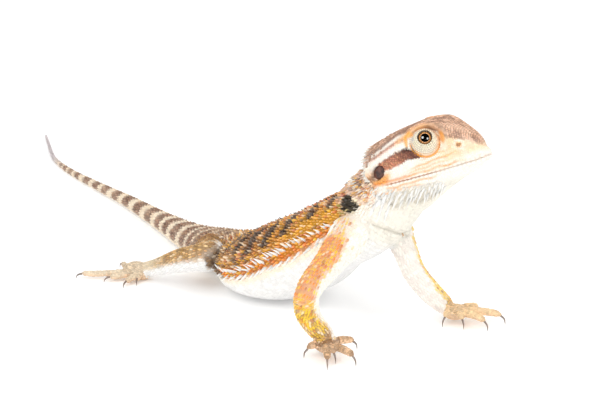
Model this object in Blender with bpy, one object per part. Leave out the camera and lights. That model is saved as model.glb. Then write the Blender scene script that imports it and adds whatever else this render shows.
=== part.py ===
"""A young bearded dragon as a still, life-size model: it rests on its belly and tail, chest and head raised.

Lengths are in millimetres and angles in degrees, and a mesh is made in metres. The animal's own frame has +X
forwards along the trunk, +Y to its left and +Z up, with the floor at z = 0. The head has a frame of its own,
whose x runs forwards along the mouth line from the jaw joints, y to the left and z up.
"""

import math
import random

import bmesh
import bpy
from mathutils import Euler, Matrix, Vector
from mathutils.bvhtree import BVHTree

MM = 0.001
GAP = 0.3
UP = Vector((0, 0, 1))

# The body from the nape to the tail's tip: centre x, y, z, half width, height above and depth below the centre.
BODY = (
    (35.0, 8.6, 44.8, 8.8, 8.6, 12.0),
    (31.0, 5.2, 38.0, 10.6, 10.4, 12.6),
    (27.0, 1.8, 31.0, 12.0, 10.9, 11.6),
    (19.0, -0.8, 25.0, 14.5, 11.6, 11.0),
    (10.0, -1.5, 19.3, 17.5, 11.6, 12.8),
    (0.0, -1.0, 14.2, 19.5, 11.6, 13.4),
    (-8.0, -0.5, 11.2, 20.5, 10.6, 12.0),
    (-17.0, 0.0, 9.6, 18.2, 7.9, 10.5),
    (-22.0, 0.2, 8.7, 13.6, 6.6, 9.4),
    (-27.0, 0.5, 8.2, 10.0, 6.8, 8.7),
    (-33.0, 1.0, 7.4, 8.8, 6.8, 7.8),
    (-41.0, 1.8, 6.6, 7.6, 6.4, 6.9),
    (-50.0, 4.2, 5.4, 6.1, 5.7, 5.6),
    (-62.0, 8.2, 4.4, 4.8, 4.6, 4.5),
    (-78.0, 13.7, 3.5, 3.7, 3.5, 3.6),
    (-92.0, 18.2, 2.9, 3.0, 2.9, 3.0),
    (-109.0, 23.5, 2.3, 2.4, 2.3, 2.4),
    (-128.0, 28.2, 1.75, 1.75, 1.7, 1.85),
    (-152.0, 34.0, 1.2, 1.15, 1.15, 1.3),
    (-168.0, 39.4, 0.9, 0.85, 0.85, 1.0),
    (-178.0, 44.4, 0.75, 0.7, 0.7, 0.85),
    (-189.0, 51.6, 0.6, 0.55, 0.55, 0.7),
    (-203.0, 61.0, 0.4, 0.35, 0.35, 0.5),
)
BODY_POWER = 2.3
BODY_STEPS = 2
# Each length of the body: its name, its first and last rows above, its sides and its skin.
LENGTHS = (
    ("neck", 0, 2, 26, "throat_skin"),
    ("torso", 2, 11, 26, "back_skin"),
    ("tail_base", 11, 14, 14, "tail_skin"),
    ("tail_middle", 14, 18, 10, "tail_skin"),
    ("tail_end", 18, 22, 8, "tail_skin"),
)

# The head: where its frame stands, and its sections from the nape to the snout. Each section gives
# x, crown height, brow (y, z), cheek (y, z), lip half width, jaw (y, z) and the depth of the throat.
HEAD_PLACE = Vector((33.3, 8.2, 46.0))
HEAD_YAW = 22.0
HEAD_STEPS = 2
HEAD_POINTS = 10
HEAD_SIDES = 24
MOUTH_SLOPE = 2.2
HEAD_PITCH = 17.0
HEAD = (
    (-6.0, 8.2, 5.6, 6.6, 8.6, 2.8, 9.0, 8.4, -6.5, -13.5),
    (-3.0, 9.8, 6.6, 8.4, 10.8, 4.0, 10.9, 9.8, -6.8, -14.6),
    (0.0, 10.9, 7.2, 9.6, 12.0, 4.8, 11.8, 10.3, -6.8, -14.8),
    (4.0, 12.3, 7.5, 10.9, 12.1, 5.8, 11.6, 10.1, -6.4, -14.0),
    (9.0, 13.2, 7.9, 12.1, 10.8, 6.6, 10.9, 9.4, -5.7, -12.2),
    (13.0, 13.5, 8.3, 13.0, 9.3, 6.4, 10.1, 8.5, -5.1, -10.0),
    (17.0, 13.6, 8.3, 13.3, 7.9, 6.1, 9.0, 7.4, -4.5, -8.0),
    (20.5, 13.0, 7.5, 12.7, 6.8, 5.5, 7.8, 6.3, -3.9, -6.4),
    (23.5, 11.8, 5.6, 11.3, 5.9, 4.8, 6.7, 5.4, -3.4, -5.2),
    (26.5, 10.0, 4.0, 9.2, 5.0, 4.0, 5.5, 4.4, -2.9, -4.2),
    (29.0, 7.9, 2.7, 7.1, 3.9, 2.9, 4.2, 3.3, -2.4, -3.3),
    (30.9, 5.5, 1.7, 4.9, 2.5, 1.9, 2.7, 2.1, -1.6, -2.3),
    (31.8, 3.1, 0.7, 2.8, 1.1, 1.0, 1.2, 0.9, -0.7, -1.1),
)
EYE_PLACE = Vector((15.3, 5.6, 8.8))
EYE_RADIUS = 3.2
LID_RADIUS = 4.0
LID_OPENING = 2.3
GAZE_FORWARD = 31.0
GAZE_UP = 23.0
EAR_PLACE = Vector((0.4, 11.9, 2.9))
EAR_SIZE = (2.6, 1.7)
EAR_TILT = 34.0
EAR_DEPTH = 1.3
DRUM_THICKNESS = 0.7
NOSTRIL_PLACE = Vector((25.4, 5.2, 5.6))
NOSTRIL_RADIUS = 0.55

# The legs: the joints are the root, the knee or elbow, the middle of the lower part and the ankle or wrist, as
# points in the animal's frame. The girths are the radii there, and the claws are where their tips touch the floor.
FRONT_LEGS = {
    "right": {
        "joints": ((31.5, -8.0, 30.0), (39.4, -33.4, 19.8), (39.1, -33.1, 12.2), (42.2, -29.6, 5.8)),
        "girths": (6.4, 4.6, 3.8, 3.7, 3.1),
        "palm": (43.2, -29.9),
        "claws": ((46.6, -20.3), (56.3, -30.5), (50.6, -33.2), (52.7, -38.6), (41.1, -36.9)),
    },
    "left": {
        "joints": ((34.0, 9.4, 27.5), (39.9, 10.8, 15.6), (42.8, 14.0, 9.8), (46.2, 17.6, 4.9)),
        "girths": (4.8, 3.9, 3.6, 3.6, 3.0),
        "palm": (49.8, 18.6),
        "claws": ((50.7, 12.2), (56.7, 15.2), (62.6, 19.5), (62.4, 27.6), (51.5, 28.5)),
    },
}
HIND_LEGS = {
    "right": {
        "joints": ((-35.0, -4.0, 8.2), (-23.3, -16.8, 11.8), (-32.5, -19.6, 9.0), (-42.0, -21.6, 4.9)),
        "girths": (5.8, 5.4, 4.8, 3.9, 2.9),
        "palm": (-48.6, -24.0),
        "claws": ((-43.4, -29.3), (-44.6, -33.8), (-53.2, -34.6), (-62.5, -38.5), (-61.8, -20.7)),
    },
    "left": {
        "joints": ((-35.0, 6.0, 7.2), (-19.0, 21.5, 6.0), (-27.0, 24.8, 4.9), (-35.5, 27.0, 4.2)),
        "girths": (5.6, 5.0, 4.3, 3.7, 2.9),
        "palm": (-33.0, 32.0),
        "claws": ((-24.5, 31.5), (-21.0, 38.0), (-22.5, 46.0), (-28.0, 52.5), (-42.5, 41.0)),
    },
}
PALM_SIZE = {"front": (4.2, 3.6, 2.5), "hind": (5.2, 3.2, 3.1)}
PALM_HEIGHT = {"front": 3.3, "hind": 2.7}
# The angles, from the widest round to the narrowest, of the rings of a limb's domed end.
DOME = (0.0, 38.0, 70.0)
TOE_GIRTHS = {"front": (1.5, 1.35, 1.2, 0.95), "hind": (1.3, 1.1, 1.05, 0.85)}
TOE_ARCH = {"front": 3.9, "hind": 1.9}
CLAW_REACH = {"front": 1.1, "hind": 1.7}
CLAW_RISE = {"front": 2.6, "hind": 1.6}
CLAW_RADIUS = 0.58

# Rows of spines on the body, then on the head. A row gives its node, the places it passes through, how many spines
# it has, their length and girth, how far they lean back and up for each length outwards, and how many sides of the
# animal carry it. A place is a count of the rows above with an angle round the body from the right side upwards,
# or with a count of the head section's named points round from the crown.
BODY_SPINES = (
    ("torso", ((2.35, 19), (3.8, 7), (5.3, 0), (6.8, 0)), 19, 2.7, 1.0, 0.9, 0.9, 2),
    ("torso", ((2.7, 1), (3.9, -6), (5.2, -8), (6.6, -7)), 15, 2.1, 0.95, 1.0, -0.3, 2),
    ("torso", ((2.3, 90), (7.6, 90)), 16, 1.3, 0.9, 0.5, 0.0, 1),
    ("torso", ((2.4, 68), (7.5, 66)), 15, 1.3, 0.9, 0.5, 0.0, 2),
    ("torso", ((2.6, 47), (6.9, 42)), 11, 1.0, 0.9, 0.5, 0.0, 2),
    ("neck", ((0.95, 28), (1.0, 90), (0.95, 152)), 8, 1.6, 0.95, 0.8, 0.2, 1),
    ("neck", ((1.3, 65), (1.45, 90), (1.3, 115)), 4, 1.2, 0.9, 0.7, 0.0, 1),
    ("neck", ((1.45, 56), (1.6, 40), (1.5, 24)), 4, 2.2, 1.0, 0.9, 0.5, 2),
    ("neck", ((1.15, 20), (1.05, -5), (0.95, -30)), 7, 1.9, 0.95, 0.8, 0.0, 2),
    ("tail_base", ((11.3, 10), (13.7, 10)), 8, 1.1, 0.85, 0.9, 0.2, 2),
    ("tail_base", ((11.3, 62), (13.7, 62)), 7, 0.8, 0.8, 0.8, 0.0, 2),
)
HEAD_SPINES = (
    ("head", ((0.45, 8.1), (0.4, 10.0), (0.45, 11.9)), 10, 1.9, 1.0, 0.9, 0.0, 1),
    ("head", ((1.25, 8.6), (1.2, 10.0), (1.25, 11.4)), 8, 1.4, 0.95, 0.8, 0.0, 1),
    ("head", ((0.5, 7.8), (0.6, 7.4), (0.9, 7.1)), 3, 1.5, 0.9, 0.9, 0.0, 2),
    ("lower_jaw", ((1.9, 6.55), (3.7, 6.45), (5.5, 6.35)), 10, 1.8, 0.95, 0.7, -0.7, 2),
    ("lower_jaw", ((3.0, 6.1), (4.6, 6.0), (6.2, 5.95)), 11, 2.1, 1.0, 0.7, -0.9, 2),
    ("lower_jaw", ((4.0, 5.7), (4.7, 5.65), (5.7, 5.6)), 6, 1.8, 0.95, 0.7, -0.5, 2),
)
SPINE_SIDES = 4
SPINE_ROOT = 0.9
SPINE_FLARE = 1.25
END_SPINE = 0.8
LENGTH_SPREAD = 0.15
LEAN_SPREAD = 0.2
PLACE_SPREAD = 0.2
SEED = 7


def metres(point):
    """A point in millimetres as one in metres."""
    return Vector(point) * MM


def head_frame():
    """The matrix that carries head millimetres to the animal's millimetres."""
    turn = Euler((0, -math.radians(HEAD_PITCH), math.radians(HEAD_YAW)), "XYZ")
    return Matrix.Translation(HEAD_PLACE) @ turn.to_matrix().to_4x4()


def row_at(rows, place):
    """The row of numbers at a place, counted in rows, on a Catmull-Rom curve through the given rows."""
    last = len(rows) - 1
    start = min(max(int(place), 0), last - 1)
    around = [rows[min(max(start + k, 0), last)] for k in (-1, 0, 1, 2)]
    return [curve_value(*numbers, place - start) for numbers in zip(*around)]


def smooth_rows(rows, steps):
    """Rows of numbers along the curve through the given rows, with steps rows to each span."""
    return [row_at(rows, index / steps) for index in range((len(rows) - 1) * steps + 1)]


def curve_value(a, b, c, d, t):
    """The Catmull-Rom value at t between b and c."""
    return 0.5 * (2 * b + (c - a) * t + (2 * a - 5 * b + 4 * c - d) * t**2 + (3 * b - a - 3 * c + d) * t**3)


def material(name, colour, roughness):
    """The Principled material of that name, made once."""
    made = bpy.data.materials.get(name)
    if made is None:
        made = bpy.data.materials.new(name)
        made.use_nodes = True
        shader = made.node_tree.nodes["Principled BSDF"]
        shader.inputs["Base Color"].default_value = (*colour, 1)
        shader.inputs["Roughness"].default_value = roughness
        shader.inputs["Metallic"].default_value = 0
        made.diffuse_color = (*colour, 1)
    return made


COLOURS = {
    "head_skin": ((0.80, 0.60, 0.46), 0.55),
    "throat_skin": ((0.90, 0.88, 0.84), 0.55),
    "back_skin": ((0.62, 0.42, 0.20), 0.6),
    "tail_skin": ((0.58, 0.46, 0.38), 0.6),
    "leg_skin": ((0.86, 0.62, 0.26), 0.6),
    "foot_skin": ((0.66, 0.52, 0.34), 0.6),
    "eye": ((0.30, 0.16, 0.07), 0.1),
    "ear_drum": ((0.22, 0.12, 0.10), 0.3),
    "claw": ((0.16, 0.12, 0.11), 0.35),
}


def mesh_object(name, bm, finish):
    """The bmesh as an object of that finish, smooth but for its sharp edges."""
    mesh = bpy.data.meshes.new(name)
    bm.to_mesh(mesh)
    bm.free()
    mesh.materials.append(material(finish, *COLOURS[finish]))
    mesh.shade_smooth()
    mesh.set_sharp_from_angle(angle=math.radians(50))
    made = bpy.data.objects.new(name, mesh)
    bpy.context.scene.collection.objects.link(made)
    return made


def loft(name, sections, finish):
    """A closed skin over sections, each a list of as many points in millimetres, kept above the floor."""
    bm = bmesh.new()
    rings = []
    for points in sections:
        ring = bmesh.ops.create_circle(bm, segments=len(points), radius=1)["verts"]
        for vert, point in zip(ring, points):
            vert.co = metres(point)
        rings.append({edge for vert in ring for edge in vert.link_edges})
    for first, second in zip(rings, rings[1:]):
        bmesh.ops.bridge_loops(bm, edges=list(first | second))
    bmesh.ops.holes_fill(bm, edges=bm.edges, sides=0)
    flatten_below_floor(bm)
    bmesh.ops.triangulate(bm, faces=bm.faces)
    bmesh.ops.recalc_face_normals(bm, faces=bm.faces)
    return mesh_object(name, bm, finish)


def flatten_below_floor(bm):
    """Presses what would reach below the floor flat on it."""
    for vert in bm.verts:
        vert.co.z = max(vert.co.z, 0.0)


def section(centre, side, up, half_width, above, below, sides, power=2.0):
    """Points round a section whose top and bottom may differ, squarer as power grows past 2."""
    sizes = (half_width, above, below)
    turns = [2 * math.pi * (index + 0.5) / sides for index in range(sides)]
    return [section_point(centre, side, up, *sizes, turn, power) for turn in turns]


def section_point(centre, side, up, half_width, above, below, turn, power=2.0):
    """The point of a section at that turn, in radians, from its side upwards."""
    across = math.copysign(abs(math.cos(turn)) ** (2 / power), math.cos(turn))
    rise = math.copysign(abs(math.sin(turn)) ** (2 / power), math.sin(turn))
    return centre + side * across * half_width + up * rise * (above if rise > 0 else below)


def body_frame(place):
    """The body's centre at a place counted in its rows, the directions along it, across and up, and its sizes."""
    step = 1 / BODY_STEPS
    before = Vector(row_at(BODY, max(place - step, 0))[:3])
    after = Vector(row_at(BODY, min(place + step, len(BODY) - 1))[:3])
    along = (after - before).normalized()
    side = UP.cross(along).normalized()
    row = row_at(BODY, place)
    return Vector(row[:3]), along, side, along.cross(side), row[3:6]


def body_sections(first, last, sides, grow=0.0):
    """Sections square to the body's line from one row of it to another. The first is one gap on from where the
    length before it ends, or grow moves the two ends outwards and widens every section."""
    found = []
    for index in range(first * BODY_STEPS, last * BODY_STEPS + 1):
        place = index / BODY_STEPS
        centre, along, side, up, sizes = body_frame(place)
        if grow and place in (first, last):
            centre = centre + along * (grow if place == last else -grow)
        elif place == first:
            centre = centre + along * GAP
        found.append(section(centre, side, up, *[size + grow for size in sizes], sides, BODY_POWER))
    return found


def head_point(place, around, grow=0.0):
    """The head's surface point, in the animal's frame, at a place counted in its rows and at a place round the
    section, counted in its named points from the crown."""
    x, crown, brow_y, brow_z, cheek_y, cheek_z, lip, jaw_y, jaw_z, throat = row_at(HEAD, place)
    left = [(brow_y, brow_z), (cheek_y, cheek_z), (lip, 0.0), (jaw_y, jaw_z)]
    right = [(-y, z) for y, z in reversed(left)]
    loop = [(0.0, crown), *left, (0.0, throat), *right]
    start = int(around)
    near = [loop[(start + k) % len(loop)] for k in (-1, 0, 1, 2)]
    y, z = (curve_value(*numbers, around - start) for numbers in zip(*near))
    away = Vector((0.0, y, z - (crown + throat) / 2)).normalized()
    return head_frame() @ (Vector((x, y, z)) + away * grow)


def head_sections(sides, grow=0.0):
    """Sections of the head in the animal's frame, each a smooth loop through its named points."""
    places = [index / HEAD_STEPS for index in range((len(HEAD) - 1) * HEAD_STEPS + 1)]
    turns = [index / sides * HEAD_POINTS for index in range(sides)]
    return [[head_point(place, turn, grow) for turn in turns] for place in places]


def tube(name, points, radii, finish, sides=10, steps=3, domed_root=True):
    """A limb along points in millimetres, with a radius at each, a domed end and, if asked, a domed root."""
    rows = smooth_rows([(*point, radius) for point, radius in zip(points, radii)], steps)
    centres = [Vector(row[:3]) for row in rows]
    last = len(rows) - 1
    sections = []
    for index, (centre, row) in enumerate(zip(centres, rows)):
        along = (centres[min(index + 1, last)] - centres[max(index - 1, 0)]).normalized()
        side = UP.cross(along).normalized()
        domed = index == last or (index == 0 and domed_root)
        rings = []
        for angle in DOME if domed else (0.0,):
            away = along * row[3] * math.sin(math.radians(angle))
            radius = row[3] * math.cos(math.radians(angle))
            middle = centre + (away if index == last else -away)
            rings.append(section(middle, side, along.cross(side), radius, radius, radius, sides))
        sections += rings if index == last else rings[::-1]
    return loft(name, sections, finish)


def apply_boolean(target, others, operation):
    """Joins the others to the target, or cuts them from it, and removes them."""
    group = bpy.data.collections.new("tools")
    for other in others:
        group.objects.link(other)
    step = target.modifiers.new("join", "BOOLEAN")
    step.operation = operation
    step.operand_type = "COLLECTION"
    step.collection = group
    step.solver = "EXACT"
    with bpy.context.temp_override(object=target, active_object=target, selected_objects=[target]):
        bpy.ops.object.modifier_apply(modifier=step.name)
    for other in others:
        bpy.data.objects.remove(other)
    bpy.data.collections.remove(group)
    keep_largest(target)


def keep_largest(target):
    """Leaves only the target's largest closed surface."""
    bm = bmesh.new()
    bm.from_mesh(target.data)
    left = set(bm.faces)
    shells = []
    while left:
        shell = {left.pop()}
        front = list(shell)
        while front:
            near = {face for edge in front.pop().edges for face in edge.link_faces} - shell
            shell |= near
            front += near
        left -= shell
        shells.append(shell)
    largest = max(shells, key=lambda shell: sum(face.calc_area() for face in shell))
    spare = [face for shell in shells if shell is not largest for face in shell]
    bmesh.ops.delete(bm, geom=spare, context="FACES")
    bm.to_mesh(target.data)
    bm.free()


def ball(name, centre, radii, finish, turn=None, sides=16):
    """An ellipsoid with its half sizes along the axes of turn, at a centre in millimetres."""
    bm = bmesh.new()
    bmesh.ops.create_uvsphere(bm, u_segments=sides, v_segments=sides // 2 + 2, radius=1)
    place = Matrix.Translation(metres(centre)) @ (turn or Matrix()).to_4x4()
    bmesh.ops.transform(bm, matrix=place @ Matrix.Diagonal((*metres(radii), 1)), verts=bm.verts)
    flatten_below_floor(bm)
    return mesh_object(name, bm, finish)


def peg(name, centre, along, radii, length, finish, sides=14, wide=UP):
    """An oval cylinder centred at a point, with a length along it and half sizes across it, the first towards
    wide."""
    bm = bmesh.new()
    bmesh.ops.create_cone(bm, cap_ends=True, segments=sides, radius1=1, radius2=1, depth=1)
    depth = along.normalized()
    across = (wide - depth * wide.dot(depth)).normalized()
    turn = Matrix((across, depth.cross(across), depth)).transposed().to_4x4()
    sizes = Matrix.Diagonal((radii[0] * MM, radii[1] * MM, length * MM, 1))
    bmesh.ops.transform(bm, matrix=Matrix.Translation(metres(centre)) @ turn @ sizes, verts=bm.verts)
    return mesh_object(name, bm, finish)


def half_of(name, whole, frame, low, high, finish):
    """A copy of the whole between two heights of the frame, closed with flat faces."""
    bm = bmesh.new()
    bm.from_mesh(whole.data)
    normal = frame.to_3x3() @ UP
    for height, sign in ((low, -1), (high, 1)):
        if height is None:
            continue
        point = metres(frame @ Vector((0, 0, height)))
        outward = normal * sign
        everything = [*bm.verts, *bm.edges, *bm.faces]
        cut = bmesh.ops.bisect_plane(bm, geom=everything, plane_co=point, plane_no=outward, clear_outer=True)
        rim = [item for item in cut["geom_cut"] if isinstance(item, bmesh.types.BMEdge)]
        bmesh.ops.triangle_fill(bm, edges=rim, use_beauty=True)
    bmesh.ops.recalc_face_normals(bm, faces=bm.faces)
    return mesh_object(name, bm, finish)


def add_spines():
    """Sets every row of spines on its node and joins them to it."""
    draw = random.Random(SEED)
    rows = [(body_spine_root, *row) for row in BODY_SPINES] + [(head_spine_root, *row) for row in HEAD_SPINES]
    pieces = {}
    for root, name, path, count, length, girth, back, rise, sides in rows:
        node = bpy.data.objects[name]
        surface = BVHTree.FromObject(node, bpy.context.evaluated_depsgraph_get())
        for mirrored in (False, True)[:sides]:
            for index in range(count):
                step = draw.uniform(-PLACE_SPREAD, PLACE_SPREAD)
                share = min(max((index + step) / (count - 1), 0.0), 1.0)
                point, along = root(*row_at(path, share * (len(path) - 1)), mirrored)
                spot, normal = surface.find_nearest(metres(point))[:2]
                lean = normal + along * back * (1 + draw.uniform(-LEAN_SPREAD, LEAN_SPREAD)) + UP * rise
                tall = length * (END_SPINE + (1 - END_SPINE) * math.sin(math.pi * share))
                tall *= 1 + draw.uniform(-LENGTH_SPREAD, LENGTH_SPREAD)
                pieces.setdefault(name, []).append(spine(spot, lean.normalized(), tall, girth))
    for name, spines in pieces.items():
        apply_boolean(bpy.data.objects[name], spines, "UNION")


def body_spine_root(place, angle, mirrored):
    """Where the body's surface is at that place and angle, and the direction along the body there."""
    centre, along, side, up, sizes = body_frame(place)
    turn = math.radians(180 - angle if mirrored else angle)
    return section_point(centre, side, up, *sizes, turn, BODY_POWER), along


def head_spine_root(place, around, mirrored):
    """Where the head's surface is at that place and place round, and the direction back along the head."""
    turn = (HEAD_POINTS - around if mirrored else around) % HEAD_POINTS
    return head_point(place, turn), head_frame().to_3x3() @ Vector((-1, 0, 0))


def spine(spot, direction, length, girth):
    """A pointed spine standing on a spot given in metres, its root sunk below it."""
    bm = bmesh.new()
    tall = length + SPINE_ROOT
    wide = girth / 2 * SPINE_FLARE
    bmesh.ops.create_cone(bm, cap_ends=True, segments=SPINE_SIDES, radius1=wide, radius2=0, depth=tall)
    turn = direction.to_track_quat("Z", "Y").to_matrix().to_4x4()
    middle = spot + direction * (tall / 2 - SPINE_ROOT) * MM
    place = Matrix.Translation(middle) @ turn @ Matrix.Scale(MM, 4)
    bmesh.ops.transform(bm, matrix=place, verts=bm.verts)
    return mesh_object("spine", bm, "head_skin")


def make_body():
    """The neck, the torso and the tail in three lengths, with the neck cut to meet the head."""
    for name, first, last, sides, finish in LENGTHS:
        loft(name, body_sections(first, last, sides), finish)
    head_cutter = loft("head_cutter", head_sections(HEAD_SIDES, GAP), "head_skin")
    apply_boolean(bpy.data.objects["neck"], [head_cutter], "DIFFERENCE")


def make_head():
    """The head and the lower jaw, parted along the mouth, with the eyes, lids, ears and nostrils."""
    frame = head_frame()
    whole = loft("whole_head", head_sections(HEAD_SIDES), "head_skin")
    slope = Matrix.Rotation(math.radians(-MOUTH_SLOPE), 4, "Y")
    lips = frame @ Matrix.Translation((HEAD[-1][0], 0, 0)) @ slope
    half_of("head", whole, lips, GAP / 2, None, "head_skin")
    half_of("lower_jaw", whole, lips, None, -GAP / 2, "throat_skin")
    bpy.data.objects.remove(whole)
    turn = frame.to_3x3()
    ahead = math.sin(math.radians(GAZE_FORWARD)) * math.cos(math.radians(GAZE_UP))
    beside = math.cos(math.radians(GAZE_FORWARD)) * math.cos(math.radians(GAZE_UP))
    above = math.sin(math.radians(GAZE_UP))
    lids = []
    cutters = []
    for name, hand in (("right", -1), ("left", 1)):
        eye = frame @ Vector((EYE_PLACE.x, EYE_PLACE.y * hand, EYE_PLACE.z))
        outward = turn @ Vector((ahead, beside * hand, above))
        lids.append(ball("lid", eye, [LID_RADIUS] * 3, "head_skin"))
        cutters.append(ball("socket", eye, [EYE_RADIUS + GAP] * 3, "head_skin"))
        opening = eye + outward * LID_RADIUS
        cutters.append(peg("opening", opening, outward, [LID_OPENING] * 2, LID_RADIUS, "head_skin"))
        ball("eye_" + name, eye, [EYE_RADIUS] * 3, "eye")
        ear = frame @ Vector((EAR_PLACE.x, EAR_PLACE.y * hand, EAR_PLACE.z))
        side = turn @ Vector((-0.3, hand, 0.0))
        tilt = math.radians(EAR_TILT)
        slant = turn @ Vector((math.cos(tilt), 0.0, math.sin(tilt)))
        cutters.append(peg("ear_hole", ear, side, EAR_SIZE, EAR_DEPTH * 2, "head_skin", wide=slant))
        floor = ear - side.normalized() * (EAR_DEPTH - GAP - DRUM_THICKNESS / 2)
        inside = [size - GAP for size in EAR_SIZE]
        peg("ear_drum_" + name, floor, side, inside, DRUM_THICKNESS, "ear_drum", wide=slant)
        nostril = frame @ Vector((NOSTRIL_PLACE.x, NOSTRIL_PLACE.y * hand, NOSTRIL_PLACE.z))
        cutters.append(peg("nostril", nostril, side, [NOSTRIL_RADIUS] * 2, 2.4, "head_skin", sides=8))
    head = bpy.data.objects["head"]
    apply_boolean(head, lids, "UNION")
    apply_boolean(head, cutters, "DIFFERENCE")


def make_leg(name, kind, parts, leg):
    """One leg: its two long parts, its palm with five toes, and five claws."""
    upper_name, lower_name, foot_name = (f"{name}_{part}" for part in parts)
    root, knee, shin, wrist = (Vector(joint) for joint in leg["joints"])
    girths = leg["girths"]
    palm = PALM_SIZE[kind]
    palm_at = Vector((*leg["palm"], PALM_HEIGHT[kind]))
    upper = tube(upper_name, (root, (root + knee) / 2, knee), girths[:3], "leg_skin")
    lower = tube(lower_name, (knee, shin, wrist), girths[2:], "leg_skin")
    knee_cutter = tube("knee_cutter", (knee, shin, wrist), [size + GAP for size in girths[2:]], "leg_skin")
    apply_boolean(upper, [torso_cutter(), knee_cutter], "DIFFERENCE")
    flat = Euler((0, 0, math.atan2(palm_at.y - wrist.y, palm_at.x - wrist.x))).to_matrix()
    ankle = (wrist, wrist.lerp(palm_at, 0.6))
    foot = ball(foot_name, palm_at, palm, "foot_skin", flat, sides=12)
    pieces = [tube("ankle", ankle, (girths[4], palm[2] * 0.8), "foot_skin")]
    cutters = [
        ball("palm_cutter", palm_at, [size + GAP for size in palm], "foot_skin", flat, sides=12),
        tube("ankle_cutter", ankle, (girths[4] + GAP, palm[2] * 0.8 + GAP), "foot_skin"),
        torso_cutter(),
    ]
    for index, tip in enumerate(leg["claws"]):
        tip = Vector((*tip, 0.0))
        toe = toe_line(kind, palm_at, tip)
        pieces.append(tube("toe", toe, TOE_GIRTHS[kind], "foot_skin", 7, 2, domed_root=False))
        grown = [size + GAP for size in TOE_GIRTHS[kind]]
        cutters.append(tube("toe_cutter", toe, grown, "foot_skin", 7, 2, domed_root=False))
        make_claw(f"{foot_name}_claw_{index + 1}", kind, toe, tip)
    apply_boolean(foot, pieces, "UNION")
    apply_boolean(lower, cutters, "DIFFERENCE")


def toe_line(kind, palm_at, tip):
    """The middle of an arched toe, from the palm to just short of the root of the claw with that tip."""
    away = Vector((tip.x - palm_at.x, tip.y - palm_at.y, 0.0)).normalized()
    end = tip - away * CLAW_REACH[kind] + UP * CLAW_RISE[kind]
    knuckle = palm_at.lerp(end, 0.45)
    knuckle.z = TOE_ARCH[kind]
    bend = palm_at.lerp(end, 0.8)
    bend.z = (knuckle.z + max(knuckle.z, end.z)) / 2 - 0.2
    return palm_at, knuckle, bend, end - (tip - bend).normalized() * TOE_GIRTHS[kind][-1]


def make_claw(name, kind, toe, tip):
    """A hooked claw from the end of the toe to its tip on the floor."""
    away = Vector((tip.x - toe[0].x, tip.y - toe[0].y, 0.0)).normalized()
    side = UP.cross(away).normalized()
    root = toe[-1] + (tip - toe[-2]).normalized() * (TOE_GIRTHS[kind][-1] + GAP)
    hook = root.lerp(tip, 0.5) + (away + UP) * 0.35
    rows = smooth_rows([(*root, CLAW_RADIUS), (*hook, CLAW_RADIUS * 0.7), (*tip, 0.12)], 2)
    sections = []
    for index, row in enumerate(rows):
        before = Vector(rows[max(index - 1, 0)][:3])
        after = Vector(rows[min(index + 1, len(rows) - 1)][:3])
        up = (after - before).normalized().cross(side)
        sections.append(section(Vector(row[:3]), side, up, row[3], row[3], row[3], 5))
    loft(name, sections, "claw")


def rest_on_origin():
    """Moves everything so that the middle of its footprint is the origin."""
    bpy.context.view_layer.update()
    nodes = [item for item in bpy.context.scene.objects if item.type == "MESH"]
    corners = [vert.co for node in nodes for vert in node.data.vertices]
    low = Vector(min(corner[axis] for corner in corners) for axis in range(3))
    high = Vector(max(corner[axis] for corner in corners) for axis in range(3))
    shift = -Vector(((low.x + high.x) / 2, (low.y + high.y) / 2, low.z))
    for node in nodes:
        node.data.transform(Matrix.Translation(shift))


def torso_cutter():
    """The neck and torso, one gap larger all round, for cutting what meets them."""
    return loft("torso_cutter", body_sections(0, LENGTHS[1][2], LENGTHS[1][3], GAP), "back_skin")


def main():
    for old in list(bpy.data.objects):
        bpy.data.objects.remove(old)
    make_body()
    make_head()
    for side in ("right", "left"):
        make_leg(side, "front", ("upper_arm", "forearm", "hand"), FRONT_LEGS[side])
        make_leg(side, "hind", ("thigh", "shank", "foot"), HIND_LEGS[side])
    add_spines()
    rest_on_origin()


main()
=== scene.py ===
"""The looks of a young bearded dragon, life size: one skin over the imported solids, its scales, spines, lids and lip
plates, with separate eyes, ear drums and claws, on a plain pale floor in soft light.

The tables are in millimetres in the animal's own frame: +X forwards along the trunk, +Y to its left, +Z up from the
floor. The head has a frame of its own, with x forwards along the mouth, y to the left and z up. A place is counted
in the rows of a table, and a turn is the share of a full circle round a section, from the right side upwards.
"""

import math

import bmesh
import bpy
import numpy as np
from bpy.props import FloatProperty, FloatVectorProperty, IntProperty, PointerProperty
from mathutils import Matrix, Vector
from mathutils.bvhtree import BVHTree
from mathutils.kdtree import KDTree


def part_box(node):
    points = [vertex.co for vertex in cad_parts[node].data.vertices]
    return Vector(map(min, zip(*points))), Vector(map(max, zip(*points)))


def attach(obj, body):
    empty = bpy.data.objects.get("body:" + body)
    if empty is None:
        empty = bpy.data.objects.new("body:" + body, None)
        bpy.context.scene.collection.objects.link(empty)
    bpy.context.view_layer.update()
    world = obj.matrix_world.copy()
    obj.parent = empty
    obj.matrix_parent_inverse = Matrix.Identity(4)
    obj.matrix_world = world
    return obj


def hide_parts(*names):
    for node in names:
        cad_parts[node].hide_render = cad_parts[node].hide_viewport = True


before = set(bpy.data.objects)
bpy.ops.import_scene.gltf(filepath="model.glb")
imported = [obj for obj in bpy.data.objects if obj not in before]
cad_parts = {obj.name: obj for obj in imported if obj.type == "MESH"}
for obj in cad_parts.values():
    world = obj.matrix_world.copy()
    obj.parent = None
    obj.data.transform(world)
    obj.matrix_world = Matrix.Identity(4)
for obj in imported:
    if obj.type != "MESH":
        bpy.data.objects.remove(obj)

bl_info = {
    "name": "Bearded dragon model",
    "version": (1, 0, 0),
    "blender": (4, 5, 0),
    "location": "View3D > Sidebar > Dragon",
    "description": "Skin, scales, spines, eyes, ears, claws and stage of a young bearded dragon",
    "category": "Object",
}

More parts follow.
